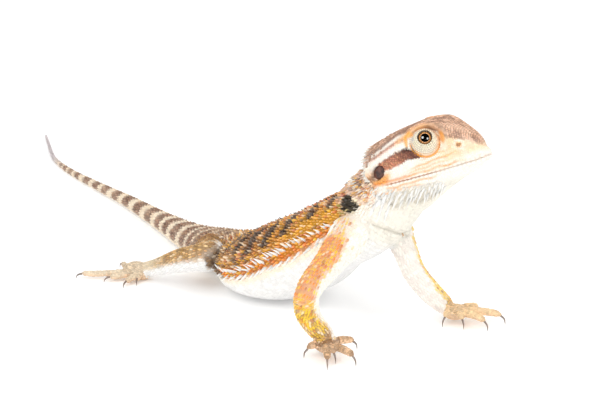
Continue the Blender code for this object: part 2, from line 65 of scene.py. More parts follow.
MM = 0.001
UP = np.array((0.0, 0.0, 1.0))
# Half the side of a form's patch on the OFBake map, and the depth of the skin's fine relief, m.
BAKE_PATCH = 0.0015
RELIEF_DEPTH = 0.00008
# Where the skin's tail ends, and where the tail's thin end starts inside it, by place.
SKIN_TAIL_END = 17.5
THIN_TAIL_START = 16.8

# The body from the nape to the tail's tip: centre x, y, z, half width, height above and depth below the centre.
BODY = np.array((
    (35.0, 8.6, 44.8, 8.8, 8.6, 12.0),
    (31.0, 5.2, 38.0, 10.6, 10.4, 12.6),
    (27.0, 1.8, 31.0, 12.0, 10.9, 11.6),
    (19.0, -0.8, 25.0, 14.5, 11.6, 11.0),
    (10.0, -1.5, 19.3, 17.5, 11.6, 12.8),
    (0.0, -1.0, 14.2, 19.5, 11.6, 13.4),
    (-8.0, -0.5, 11.2, 20.5, 10.6, 12.0),
    (-17.0, 0.0, 9.6, 18.2, 7.9, 10.5),
    (-22.0, 0.2, 8.7, 13.6, 6.6, 9.4),
    (-27.0, 0.5, 8.2, 10.0, 6.8, 8.7),
    (-33.0, 1.0, 7.4, 8.8, 6.8, 7.8),
    (-41.0, 1.8, 6.6, 7.6, 6.4, 6.9),
    (-50.0, 4.2, 5.4, 6.1, 5.7, 5.6),
    (-62.0, 8.2, 4.4, 4.8, 4.6, 4.5),
    (-78.0, 13.7, 3.5, 3.7, 3.5, 3.6),
    (-92.0, 18.2, 2.9, 3.0, 2.9, 3.0),
    (-109.0, 23.5, 2.3, 2.4, 2.3, 2.4),
    (-128.0, 28.2, 1.75, 1.75, 1.7, 1.85),
    (-152.0, 34.0, 1.2, 1.15, 1.15, 1.3),
    (-168.0, 39.4, 0.9, 0.85, 0.85, 1.0),
    (-178.0, 44.4, 0.75, 0.7, 0.7, 0.85),
    (-189.0, 51.6, 0.6, 0.55, 0.55, 0.7),
    (-203.0, 61.0, 0.4, 0.35, 0.35, 0.5),
))
BODY_POWER = 2.3

# The head's sections from the nape to the snout: x, crown height, brow (y, z), cheek (y, z), lip half width,
# jaw (y, z) and the depth of the throat.
HEAD = np.array((
    (-6.0, 8.2, 5.6, 6.6, 8.6, 2.8, 9.0, 8.4, -6.5, -13.5),
    (-3.0, 9.8, 6.6, 8.4, 10.8, 4.0, 10.9, 9.8, -6.8, -14.6),
    (0.0, 10.9, 7.2, 9.6, 12.0, 4.8, 11.8, 10.3, -6.8, -14.8),
    (4.0, 12.3, 7.5, 10.9, 12.1, 5.8, 11.6, 10.1, -6.4, -14.0),
    (9.0, 13.2, 7.9, 12.1, 10.8, 6.6, 10.9, 9.4, -5.7, -12.2),
    (13.0, 13.5, 8.3, 13.0, 9.3, 6.4, 10.1, 8.5, -5.1, -10.0),
    (17.0, 13.6, 8.3, 13.3, 7.9, 6.1, 9.0, 7.4, -4.5, -8.0),
    (20.5, 13.0, 7.5, 12.7, 6.8, 5.5, 7.8, 6.3, -3.9, -6.4),
    (23.5, 11.8, 5.6, 11.3, 5.9, 4.8, 6.7, 5.4, -3.4, -5.2),
    (26.5, 10.0, 4.0, 9.2, 5.0, 4.0, 5.5, 4.4, -2.9, -4.2),
    (29.0, 7.9, 2.7, 7.1, 3.9, 2.9, 4.2, 3.3, -2.4, -3.3),
    (30.9, 5.5, 1.7, 4.9, 2.5, 1.9, 2.7, 2.1, -1.6, -2.3),
    (31.8, 3.1, 0.7, 2.8, 1.1, 1.0, 1.2, 0.9, -0.7, -1.1),
))
HEAD_POINTS = 10
HEAD_PLACE = np.array((33.3, 8.2, 46.0))
HEAD_YAW = math.radians(22)
HEAD_PITCH = math.radians(17)
MOUTH_SLOPE = math.radians(2.2)
SNOUT = 31.8

EYE_PLACE = (15.3, 5.6, 8.8)
LID_RADIUS = 4.0
LID_OPENING = 2.3
LID_BALL = 4.55
EYE_HOLLOW = 2.9
GAZE_FORWARD = math.radians(31)
GAZE_UP = math.radians(23)
EAR_PLACE = (0.4, 11.9, 2.9)
EAR_SIZE = (2.6, 1.7)
EAR_TILT = math.radians(34)
NOSTRIL_PLACE = (25.4, 5.2, 5.6)

# The legs: root, knee or elbow, middle of the lower part and ankle or wrist, the radii there and halfway down the
# upper part, the middle of the palm and the tips of the claws.
LEGS = {
    "right_front": {
        "kind": "front",
        "joints": ((31.5, -8.0, 30.0), (39.4, -33.4, 19.8), (39.1, -33.1, 12.2), (42.2, -29.6, 5.8)),
        "girths": (6.4, 4.6, 3.8, 3.7, 3.1),
        "palm": (43.2, -29.9),
        "claws": ((46.6, -20.3), (56.3, -30.5), (50.6, -33.2), (52.7, -38.6), (41.1, -36.9)),
    },
    "left_front": {
        "kind": "front",
        "joints": ((34.0, 9.4, 27.5), (39.9, 10.8, 15.6), (42.8, 14.0, 9.8), (46.2, 17.6, 4.9)),
        "girths": (4.8, 3.9, 3.6, 3.6, 3.0),
        "palm": (49.8, 18.6),
        "claws": ((50.7, 12.2), (56.7, 15.2), (62.6, 19.5), (62.4, 27.6), (51.5, 28.5)),
    },
    "right_hind": {
        "kind": "hind",
        "joints": ((-35.0, -4.0, 8.2), (-23.3, -16.8, 11.8), (-32.5, -19.6, 9.0), (-42.0, -21.6, 4.9)),
        "girths": (5.8, 5.4, 4.8, 3.9, 2.9),
        "palm": (-48.6, -24.0),
        "claws": ((-43.4, -29.3), (-44.6, -33.8), (-53.2, -34.6), (-62.5, -38.5), (-61.8, -20.7)),
    },
    "left_hind": {
        "kind": "hind",
        "joints": ((-35.0, 6.0, 7.2), (-19.0, 21.5, 6.0), (-27.0, 24.8, 4.9), (-35.5, 27.0, 4.2)),
        "girths": (5.6, 5.0, 4.3, 3.7, 2.9),
        "palm": (-33.0, 32.0),
        "claws": ((-24.5, 31.5), (-21.0, 38.0), (-22.5, 46.0), (-28.0, 52.5), (-42.5, 41.0)),
    },
}
PALM_SIZE = {"front": (4.2, 3.6, 2.5), "hind": (5.2, 3.2, 3.1)}
PALM_HEIGHT = {"front": 3.3, "hind": 2.7}
TOE_GIRTHS = {"front": (1.5, 1.35, 1.2, 0.95), "hind": (1.3, 1.1, 1.05, 0.85)}
TOE_ARCH = {"front": 3.9, "hind": 1.9}
CLAW_REACH = {"front": 1.1, "hind": 1.7}
CLAW_RISE = {"front": 2.6, "hind": 1.6}

FLESH = ["head", "lower_jaw", "neck", "torso", "tail_base", "tail_middle", "tail_end"] + [
    f"{side}_{part}"
    for side in ("right", "left")
    for part in ("upper_arm", "forearm", "hand", "thigh", "shank", "foot")
]

made = {}


def turned(yaw, pitch):
    """The rotation that pitches up and then yaws to the left, as a matrix."""
    cy, sy, cp, sp = math.cos(yaw), math.sin(yaw), math.cos(pitch), math.sin(pitch)
    return np.array(((cy * cp, -sy, -cy * sp), (sy * cp, cy, -sy * sp), (sp, 0.0, cp)))


HEAD_TURN = turned(HEAD_YAW, HEAD_PITCH)


def from_head(points):
    """Head millimetres as the animal's millimetres."""
    return np.asarray(points, float) @ HEAD_TURN.T + HEAD_PLACE


def to_head(points):
    """The animal's millimetres as head millimetres."""
    return (np.asarray(points, float) - HEAD_PLACE) @ HEAD_TURN


def find_shift():
    """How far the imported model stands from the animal's own frame, in metres, read off its right eye."""
    low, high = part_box("eye_right")
    eye = from_head((EYE_PLACE[0], -EYE_PLACE[1], EYE_PLACE[2]))
    return (np.array(low) + np.array(high)) / 2 - eye * MM


SHIFT = find_shift()


def to_row(points):
    """The animal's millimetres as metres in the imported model's frame."""
    return np.asarray(points, float) * MM + SHIFT


def unit(vectors):
    return vectors / np.maximum(np.linalg.norm(vectors, axis=-1, keepdims=True), 1e-12)


def ramp(x, low, high):
    """A smooth rise from 0 at low to 1 at high, or a fall where high is below low."""
    t = np.clip((np.asarray(x, float) - low) / (high - low), 0, 1)
    return t * t * (3 - 2 * t)


def hump(x, middle, width):
    return np.exp(-(((np.asarray(x, float) - middle) / width) ** 2))


def through(a, b, c, d, t):
    """A smooth curve from b at t = 0 to c at t = 1, with a before it and d after it."""
    return 0.5 * (2 * b + (c - a) * t + (2 * a - 5 * b + 4 * c - d) * t**2 + (3 * b - a - 3 * c + d) * t**3)


def spline(rows, place):
    """The row of numbers at each place on a smooth curve through the rows, counted in rows."""
    rows = np.asarray(rows, float)
    last = len(rows) - 1
    place = np.clip(np.asarray(place, float), 0, last)
    start = np.minimum(place.astype(int), last - 1)
    t = (place - start)[..., None]
    a, b, c, d = (rows[np.clip(start + k, 0, last)] for k in (-1, 0, 1, 2))
    return through(a, b, c, d, t)


def line_frame(rows, place, reach=0.5):
    """The centre at each place and the directions along the line, across it and up."""
    last = len(rows) - 1
    place = np.asarray(place, float)
    after = spline(rows, np.minimum(place + reach, last))[..., :3]
    before = spline(rows, np.maximum(place - reach, 0))[..., :3]
    along = unit(after - before)
    across = unit(np.cross(np.broadcast_to(UP, along.shape), along))
    return spline(rows, place)[..., :3], along, across, np.cross(along, across)


def body_surface(place, turn):
    """Points on the body at each place and turn."""
    place, turn = np.broadcast_arrays(place, turn)
    centre, _, side, up = line_frame(BODY, place)
    half, above, below = np.moveaxis(spline(BODY, place)[..., 3:6], -1, 0)
    angle = 2 * np.pi * turn
    across = np.sign(np.cos(angle)) * np.abs(np.cos(angle)) ** (2 / BODY_POWER)
    rise = np.sign(np.sin(angle)) * np.abs(np.sin(angle)) ** (2 / BODY_POWER)
    tall = np.where(rise > 0, above, below)
    return centre + side * (across * half)[..., None] + up * (rise * tall)[..., None]


def head_local(place, turn):
    """Points on the head at each place and turn, in head millimetres."""
    place, turn = np.broadcast_arrays(place, turn)
    row = spline(HEAD, place)
    x, crown, brow_y, brow_z, cheek_y, cheek_z, lip, jaw_y, jaw_z, throat = np.moveaxis(row, -1, 0)
    zero = np.zeros_like(x)
    ys = np.stack((zero, brow_y, cheek_y, lip, jaw_y, zero, -jaw_y, -lip, -cheek_y, -brow_y), -1)
    zs = np.stack((crown, brow_z, cheek_z, zero, jaw_z, throat, jaw_z, zero, cheek_z, brow_z), -1)
    around = (turn * HEAD_POINTS + 7.5) % HEAD_POINTS
    start = around.astype(int)
    t = around - start
    values = []
    for loop in (ys, zs):
        a, b, c, d = (
            np.take_along_axis(loop, ((start + k) % HEAD_POINTS)[..., None], -1)[..., 0] for k in (-1, 0, 1, 2)
        )
        values.append(through(a, b, c, d, t))
    return np.stack((x, *values), -1)


def head_surface(place, turn):
    return from_head(head_local(place, turn))


def mouth_height(x):
    """The height of the mouth line at each x, in head millimetres."""
    return -(SNOUT - x) * math.tan(MOUTH_SLOPE)


def degrees_down(turn):
    """How far a turn lies down from the spine, on its own side, in degrees."""
    return np.abs((turn - 0.25 + 0.5) % 1 - 0.5) * 360


def tube_surface(rows):
    """The function that gives points round a limb whose rows hold centres and radii."""

    def surface(place, turn):
        place, turn = np.broadcast_arrays(place, turn)
        centre, _, side, up = line_frame(rows, place, 0.3)
        radius = spline(rows, place)[..., 3]
        angle = 2 * np.pi * turn
        return centre + side * (np.cos(angle) * radius)[..., None] + up * (np.sin(angle) * radius)[..., None]

    return surface


def palm_surface(centre, sizes, heading):
    """The function that gives points on a palm, from its heel at 0 to its toes at 1."""
    ahead = np.array((math.cos(heading), math.sin(heading), 0.0))
    side = np.cross(UP, ahead)

    def surface(place, turn):
        place, turn = np.broadcast_arrays(place, turn)
        x = -np.cos(np.pi * place) * sizes[0]
        wide = np.sin(np.pi * place)
        y = np.cos(2 * np.pi * turn) * wide * sizes[1]
        z = np.sin(2 * np.pi * turn) * wide * sizes[2]
        return centre + ahead * x[..., None] + side * y[..., None] + UP * z[..., None]

    return surface


def leg_rows(leg):
    """The rows of a leg's long tube, from its root to inside the palm."""
    root, knee, shin, wrist = (np.array(joint) for joint in leg["joints"])
    palm = np.array((*leg["palm"], PALM_HEIGHT[leg["kind"]]))
    points = (root, (root + knee) / 2, knee, shin, wrist, wrist + (palm - wrist) * 0.6)
    radii = (*leg["girths"], PALM_SIZE[leg["kind"]][2] * 0.8)
    return np.array([(*point, radius) for point, radius in zip(points, radii)])


def toe_points(leg, tip):
    """The middle line of an arched toe, from the palm to the root of the claw with that tip."""
    kind = leg["kind"]
    palm = np.array((*leg["palm"], PALM_HEIGHT[kind]))
    tip = np.array((*tip, 0.0))
    away = unit(np.array((tip[0] - palm[0], tip[1] - palm[1], 0.0)))
    end = tip - away * CLAW_REACH[kind] + UP * CLAW_RISE[kind]
    knuckle = palm + (end - palm) * 0.45
    knuckle[2] = TOE_ARCH[kind]
    bend = palm + (end - palm) * 0.8
    bend[2] = (knuckle[2] + max(knuckle[2], end[2])) / 2 - 0.2
    return palm, knuckle, bend, end - unit(tip - bend) * TOE_GIRTHS[kind][-1]


def toe_rows(leg, tip):
    return np.array([(*point, girth) for point, girth in zip(toe_points(leg, tip), TOE_GIRTHS[leg["kind"]])])


def regions():
    """Every stretch of the animal's surface: its name, its function of place and turn and its last place."""
    found = [("body", body_surface, len(BODY) - 1), ("head", head_surface, len(HEAD) - 1)]
    for name, leg in LEGS.items():
        rows = leg_rows(leg)
        found.append((name + "_leg", tube_surface(rows), len(rows) - 1))
        wrist = leg["joints"][3]
        heading = math.atan2(leg["palm"][1] - wrist[1], leg["palm"][0] - wrist[0])
        centre = np.array((*leg["palm"], PALM_HEIGHT[leg["kind"]]))
        found.append((name + "_palm", palm_surface(centre, PALM_SIZE[leg["kind"]], heading), 1))
        for index, tip in enumerate(leg["claws"]):
            rows = toe_rows(leg, tip)
            found.append((f"{name}_toe_{index + 1}", tube_surface(rows), len(rows) - 1))
    return found


def eye_directions(hand):
    """The centre of one eye and the directions of its gaze, ahead and up across it, in the animal's frame."""
    eye = from_head((EYE_PLACE[0], EYE_PLACE[1] * hand, EYE_PLACE[2]))
    ahead = math.sin(GAZE_FORWARD) * math.cos(GAZE_UP)
    beside = math.cos(GAZE_FORWARD) * math.cos(GAZE_UP)
    gaze = HEAD_TURN @ np.array((ahead, beside * hand, math.sin(GAZE_UP)))
    crown = HEAD_TURN @ UP
    over = unit(crown - gaze * (crown @ gaze))
    front = np.cross(over, gaze) * hand
    return eye, gaze, front, over


def lid_ball(hand):
    """The centre of the ball of skin that the lids of one eye make."""
    eye, gaze, _, over = eye_directions(hand)
    return eye - over * 0.7 - gaze * 0.4


def ear_directions(hand):
    """The centre of one ear and its outward, long and short directions, in the animal's frame."""
    ear = from_head((EAR_PLACE[0], EAR_PLACE[1] * hand, EAR_PLACE[2]))
    outward = unit(HEAD_TURN @ np.array((-0.3, hand, 0.0)))
    slant = HEAD_TURN @ np.array((math.cos(EAR_TILT), 0.0, math.sin(EAR_TILT)))
    long = unit(slant - outward * (slant @ outward))
    return ear, outward, long, np.cross(outward, long)


def from_ear(points, hand):
    """How far points lie from the middle of an ear cup, for its half sizes, and how far out of it, mm."""
    ear, outward, long, short = ear_directions(hand)
    away = points - ear
    return np.sqrt((away @ long / EAR_SIZE[0]) ** 2 + (away @ short / EAR_SIZE[1]) ** 2), away @ outward


def from_nostril(points, hand):
    """How far points lie from a nostril, mm."""
    nostril = from_head((NOSTRIL_PLACE[0], NOSTRIL_PLACE[1] * hand, NOSTRIL_PLACE[2]))
    return np.linalg.norm(points - nostril, axis=1)


# Colours as they look, red, green and blue, made linear for the shaders by linear() below.
PAINT = {
    "belly_white": (0.945, 0.94, 0.93),
    # Painted shade: the grey laid on the belly's underside.
    "belly_underside_shade": (0.86, 0.86, 0.87),
    "throat_cream": (0.93, 0.91, 0.86),
    # Painted shade: the grey laid on the undersides of the neck and chin.
    "throat_underside_shade": (0.86, 0.86, 0.83),
    # Painted shade: the grey laid on the skin between the beard's spines.
    "beard_gap_shade": (0.84, 0.81, 0.75),
    "beard_white": (0.99, 0.985, 0.97),
    "back_orange": (0.88, 0.52, 0.12),
    "back_red": (0.82, 0.38, 0.22),
    "back_rust": (0.76, 0.46, 0.26),
    "back_yellow": (0.95, 0.68, 0.03),
    "back_khaki": (0.72, 0.54, 0.32),
    "back_tan": (0.86, 0.7, 0.52),
    "back_cream": (0.98, 0.92, 0.8),
    "bar_charcoal": (0.24, 0.17, 0.17),
    "flank_orange": (1, 0.52, 0.08),
    "nape_pink": (0.9, 0.77, 0.68),
    "spot_black": (0.24, 0.19, 0.1),
    "spot_yellow": (0.8, 0.7, 0.28),
    "head_tan": (0.86, 0.68, 0.56),
    "head_pink": (0.92, 0.76, 0.65),
    "head_brown": (0.6, 0.44, 0.36),
    "head_orange": (0.98, 0.74, 0.5),
    "cheek_white": (0.965, 0.945, 0.905),
    "cheek_peach": (0.98, 0.82, 0.64),
    "streak_orange": (0.97, 0.64, 0.27),
    "temple_maroon": (0.34, 0.17, 0.12),
    "temple_red": (0.78, 0.5, 0.38),
    "lid_cream": (0.98, 0.94, 0.83),
    "lid_grey": (0.84, 0.84, 0.83),
    "lid_orange": (0.99, 0.66, 0.2),
    "rim_brown": (0.26, 0.13, 0.07),
    "mouth_brown": (0.76, 0.47, 0.28),
    "nostril_brown": (0.6, 0.4, 0.14),
    "cup_maroon": (0.36, 0.17, 0.11),
    "tail_cream": (0.96, 0.89, 0.79),
    "tail_brown": (0.6, 0.45, 0.37),
    "tail_lilac": (0.8, 0.76, 0.78),
    "arm_orange": (0.98, 0.54, 0.04),
    "arm_rust": (0.88, 0.5, 0.16),
    "arm_yellow": (0.98, 0.81, 0.2),
    "arm_white": (0.98, 0.965, 0.93),
    "arm_pink": (0.93, 0.89, 0.86),
    "arm_khaki": (0.88, 0.82, 0.66),
    "hand_khaki": (0.66, 0.44, 0.18),
    "hand_pink": (0.93, 0.78, 0.64),
    "hand_peach": (0.95, 0.82, 0.64),
    "leg_brown": (0.67, 0.46, 0.24),
    "leg_tan": (0.88, 0.72, 0.5),
    "foot_grey": (0.9, 0.83, 0.72),
}


def linear(colour):
    """A colour as it looks as the light that a shader works with."""
    return np.asarray(colour, float) ** 2.2


def coloured(name):
    return linear(PAINT[name])


def mixed(under, over, share):
    """One colour laid over another by a share for each point."""
    return under + (over - under) * np.asarray(share)[..., None]


def layered(colour, *layers):
    """A colour with named ones laid over it in turn, each by its share."""
    for name, share in layers:
        colour = mixed(colour, coloured(name), share)
    return colour


def between(first, second, share):
    """A blend of two named colours by the share of the second."""
    return mixed(coloured(first), coloured(second), share)


def lightness(colours):
    return colours @ np.array((0.3, 0.6, 0.1))


def ripple(points, wave, seed=0.0):
    """A smooth random-looking number between 0 and 1 that changes over about one wave, in millimetres."""
    x, y, z = (np.asarray(points) / wave + seed).T
    first = np.sin(x * 2.1 + np.sin(y * 1.7 + 1.3) * 1.5) * np.sin(y * 1.9 + np.sin(z * 2.3) * 1.4)
    second = np.sin(z * 2.7 + x * 1.1 + np.sin(y * 2.9) * 1.2)
    return 0.5 + 0.25 * first + 0.25 * second


# The dark bars over the back: the place of each, its width, and the degrees down from the spine that it reaches.
BACK_BARS = (
    (2.25, 0.1, 8, 40), (2.9, 0.13, 12, 46), (3.6, 0.15, 18, 62), (4.2, 0.16, 24, 70), (4.8, 0.17, 26, 74),
    (5.5, 0.2, 20, 66), (6.3, 0.22, 16, 56),
)
# The brown bands round the tail, by place.
TAIL_BANDS = np.array((
    8.8, 9.4, 10.0, 10.6, 11.2, 11.9, 12.8, 13.4, 13.9, 14.6, 15.3, 15.9, 16.4, 16.9, 17.2, 17.5, 17.85, 18.15, 18.45,
    18.75, 19.05,
))


def flank_edge(place):
    """How many degrees down from the spine the back gives way to the pale flank at each place."""
    return np.interp(place, (2.2, 3.0, 3.8, 5.2, 7.0), (72, 84, 90, 94, 94))


def paint_body(place, turn, points):
    """The colours of the neck, trunk and tail."""
    down = degrees_down(turn)
    rear = ramp(place, 3.6, 6.0)
    front = ramp(place, 4.4, 3.4) * ramp(place, 1.3, 1.7)
    patch = ripple(points, 2.6)
    fine = ripple(points, 0.8, 3.0)
    dark = np.zeros_like(place)
    for middle, width, start, reach in BACK_BARS:
        middle = middle + (down - 40) * 0.004 + 0.12 * (patch - 0.5)
        bar = hump(place, middle, width) * ramp(down, reach + 6, reach - 6) * ramp(down, start - 5, start + 4)
        dark = np.maximum(dark, bar * (0.5 + 0.9 * fine))
    colour = layered(
        between("back_orange", "back_khaki", rear * 0.75),
        ("back_rust", ramp(down, 50, 15) * (0.1 + 0.5 * patch) * (1 - 0.4 * rear)),
        ("back_yellow", ramp(down, 25, 42) * ramp(down, 84, 66) * ramp(place, 5.2, 2.4) * 0.9),
        ("back_cream", hump(down, 18, 3) * front * 0.85),
        ("back_red", hump(down, 10, 5) * front * 0.85),
        ("bar_charcoal", np.clip(dark * 1.5, 0, 0.94)),
        ("bar_charcoal", ramp(patch, 0.58, 0.78) * ramp(down, 82, 60) * ramp(place, 3.8, 4.8) * 0.3),
    )
    edge = flank_edge(place)
    flank = ramp(down, edge - 9, edge - 4) * ramp(down, edge + 5, edge + 1)
    flank *= ramp(place, 2.0, 2.6) * ramp(place, 8.4, 7.2)
    glow = between("flank_orange", "back_yellow", ramp(ripple(points, 1.2, 8.0), 0.45, 0.65))
    colour = mixed(colour, glow, flank * (0.45 + 0.55 * ramp(ripple(points, 1.5, 12.0), 0.3, 0.5)))
    fringe = hump(down, edge + 10, 6) * ramp(place, 2.2, 3.0) * ramp(place, 8.2, 7.0)
    belly = layered(
        coloured("belly_white"),
        ("back_cream", fringe * (0.5 + 0.4 * fine)),
        # Painted shade: the belly greyer towards its underside.
        ("belly_underside_shade", ramp(down, 125, 165) * 0.35),
    )
    colour = mixed(colour, belly, ramp(down, edge + 3, edge + 9))
    nape = layered(
        between("nape_pink", "cheek_white", ramp(down, 30, 65) * 0.9),
        ("head_brown", ramp(patch, 0.5, 0.8) * ramp(down, 62, 30) * 0.5),
        ("streak_orange", hump(down, 60, 12) * hump(place, 0.75, 0.4) * 0.9),
        ("temple_red", hump(down, 50, 8) * hump(place, 0.9, 0.35) * ramp(fine, 0.35, 0.6)),
        ("throat_cream", ramp(down, 80, 105)),
        # Painted shade: the neck greyer towards its underside.
        ("throat_underside_shade", ramp(down, 120, 170) * 0.35),
    )
    spot = np.sqrt(((place - 1.55) / 0.18) ** 2 + ((down - 49) / 9.5) ** 2) + 0.8 * (fine - 0.5)
    colour = layered(
        mixed(colour, nape, ramp(place, 2.05, 1.65)),
        ("spot_yellow", ramp(spot, 1.7, 1.15) * ramp(down, 40, 56) * 0.8),
        ("spot_black", ramp(spot, 1.05, 0.8)),
    )
    slant = np.interp(place, (8, 12, 14, 18), (1.0, 0.45, 0.12, 0.0)) * down / 90
    count = np.interp(place - slant, TAIL_BANDS, np.arange(len(TAIL_BANDS)))
    wide = np.interp(place, (9, 12, 13.5), (0.48, 0.44, 0.38))
    bands = ramp(np.abs(count - np.round(count)) - wide, 0.0, -0.18) * ramp(place, 19.4, 18.6)
    reach = np.interp(place, (9, 12, 16), (88, 102, 116))
    tail = layered(
        coloured("tail_cream"),
        ("tail_brown", bands * ramp(down, reach + 10, reach - 10) * (0.8 + 0.25 * patch)),
        ("back_tan", ramp(place, 12.0, 9.2) * ramp(fine, 0.4, 0.7) * 0.6 * ramp(down, 100, 80)),
        ("belly_white", ramp(down, 112, 140) * 0.7),
        ("tail_lilac", ramp(place, 18.4, 19.8) * 0.9),
    )
    return mixed(colour, tail, ramp(place, 8.3, 9.3))


def paint_head(points):
    """The colours of the head and lower jaw, from their place in the head's own frame."""
    x, y, z = to_head(points).T
    aside = np.abs(y)
    side = ramp(aside, 3.0, 5.0)
    patch = ripple(points, 2.2, 5.0)
    fine = ripple(points, 0.7, 2.0)
    rise = z - mouth_height(x)
    over_eye = hump(x, 16.0, 4.0) * ramp(aside, 3.5, 5.5)
    top = layered(
        between("head_pink", "head_tan", ramp(fine, 0.3, 0.6)),
        ("head_brown", (ramp(patch, 0.4, 0.75) * 0.6 + ramp(fine, 0.6, 0.85) * 0.35) * (1 - 0.8 * over_eye)),
        ("head_orange", over_eye * 0.45),
    )
    colour = layered(
        between("cheek_white", "cheek_peach", 0.05 + 0.25 * patch * ramp(x, 10, 20)),
        ("cheek_peach", ramp(x, 17, 23) * ramp(z, 1.0, 3.5) * (0.35 + 0.5 * patch)),
    )
    edge = np.interp(x, (-6, 4, 10, 16, 20, 24, 28, 31), (6.6, 10.6, 12.0, 12.4, 9.9, 8.0, 6.0, 3.8))
    colour = mixed(colour, top, ramp(z - edge, -0.5, 0.7))
    temple = ramp(x, 12.6, 11.2) * ramp(z, 4.5, 6.0) * (0.75 + 0.4 * fine)
    first = np.interp(x, (-6, 0, 4, 8, 11), (4.8, 6.2, 7.7, 9.2, 9.6))
    apart = np.interp(x, (-6, 0, 8), (0.6, 0.8, 1.0))
    for share, above, half, tone in (
        (0.9, 1.45, 0.55, "temple_red"), (0.95, 2.5, 0.5, "cheek_white"), (0.85, 3.4, 0.55, "head_brown"),
    ):
        colour = layered(colour, (tone, hump(z, first + above * apart, half) * temple * share))
    band = hump(z - 11.6 - (x - 10.8) * 0.42, 0, 0.75) * ramp(x, 6.0, 9.0) * ramp(x, 14.0, 12.6) * side
    colour = layered(colour, ("head_orange", band * 0.85))
    for middle, reach, tone in (
        ((12.2, 11.9), (0.9, 0.8), "lid_orange"), ((15.6, 13.0), (1.7, 0.6), "head_orange"),
        ((21.0, 9.0), (1.0, 1.6), "lid_orange"), ((11.0, 10.2), (0.5, 1.6), "lid_orange"),
    ):
        spread = np.sqrt(((x - middle[0]) / reach[0]) ** 2 + ((z - middle[1]) / reach[1]) ** 2)
        colour = layered(colour, (tone, ramp(spread, 1.5, 0.7) * side * 0.75))
    for line in (22.7, 24.1):
        share = hump(x, line, 0.35) * ramp(z, 3.5, 4.5) * ramp(z, 8.0, 6.5) * 0.8
        colour = layered(colour, ("cheek_peach", share))
    middle = np.interp(x, (0, 4, 7.5, 11, 13.5, 15), (4.3, 4.9, 6.0, 6.7, 5.3, 4.6))
    half = np.interp(x, (0.5, 2, 4, 7.5, 11, 12.5, 14.5), (0.5, 1.3, 1.7, 2.0, 1.7, 1.3, 0.35))
    ragged = ramp(np.abs(z - middle) / half + 0.35 * (fine - 0.5), 1.15, 0.85)
    ragged *= ramp(x, 0.5, 2.0) * ramp(x, 15.5, 14.0)
    shade = ramp(x, 5.0, 11.5) * 0.75 + ramp(z - middle, 0.2, 1.6) * 0.4 + 0.3 * (patch - 0.5)
    tint = layered(
        between("temple_red", "temple_maroon", np.clip(shade, 0, 1)),
        ("head_orange", ramp(fine, 0.62, 0.85) * ramp(x, 11, 6) * 0.6),
    )
    tint = tint * (0.6 + 0.75 * ripple(points, 0.5, 9.0))[:, None]
    colour = mixed(colour, tint, ragged * ramp(aside, 5.0, 7.0))
    wave = 0.16 * np.sin(x * 1.1) + 0.35 * (ripple(points, 3.0, 11.0) - 0.5)
    for above, climb, half, strength, first, last in (
        (1.15, 0.0, 0.28, 0.85, 8, 25), (2.1, 0.05, 0.26, 0.7, 10, 22), (3.0, 0.1, 0.3, 0.75, 11, 24),
        (4.3, 0.12, 0.25, 0.5, 15, 23),
    ):
        streak = hump(rise, above + climb * (x - 12) + wave, half) * strength
        streak *= ramp(x, first - 2, first + 2) * ramp(x, last + 3, last - 3)
        colour = layered(colour, ("streak_orange", streak))
    ear = np.sqrt((x - EAR_PLACE[0]) ** 2 + (z - EAR_PLACE[2]) ** 2)
    below_ear = ramp(ear, 5.0, 3.0) * ramp(z - x * 0.2, 2.4, 0.8)
    behind_ear = ramp(x, 0.0, -2.0) * hump(z, 1.2, 2.0)
    outer = ramp(aside, 6, 8)
    colour = layered(
        colour,
        ("lid_orange", np.maximum(below_ear * 0.85, behind_ear * 0.75) * outer),
        ("temple_maroon", hump(x, -2.6, 1.5) * hump(z, 1.2, 1.0) * outer * 0.7),
        ("arm_orange", hump(rise, 0.9, 0.45) * ramp(x, 12.0, 7.0) * ramp(x, -6, -2) * 0.7),
    )
    beard = ramp(z, -2.6, -4.4) * ramp(z, -11.5, -8.5) * ramp(x, 19, 14) * ramp(aside, 2.5, 4.5)
    jaw = layered(
        between("cheek_white", "throat_cream", ramp(z, -3.0, -6.0)),
        # Painted shade: grey on the skin between the beard's spines.
        ("beard_gap_shade", beard * 0.7),
        # Painted shade: the chin greyer towards its underside.
        ("throat_underside_shade", ramp(z, -5.0, -12.0) * ramp(x, 16, 24) * 0.5),
        ("streak_orange", hump(rise, -1.15 + wave, 0.3) * ramp(x, 19, 15) * ramp(x, 1, 3) * 0.8),
        ("streak_orange", hump(rise, -2.3 - wave, 0.3) * ramp(x, 14, 11) * ramp(x, -4, 1) * 0.6),
    )
    gap = np.sqrt((x - NOSTRIL_PLACE[0]) ** 2 + (z - NOSTRIL_PLACE[2]) ** 2)
    near = ramp(aside, 2.5, 4.0)
    return layered(
        mixed(colour, jaw, ramp(rise, 0.1, -0.1)),
        ("cheek_white", ramp(gap, 2.0, 1.1) * 0.7 * near),
        ("lid_orange", ramp(gap, 1.3, 0.7) * 0.6 * near),
    )


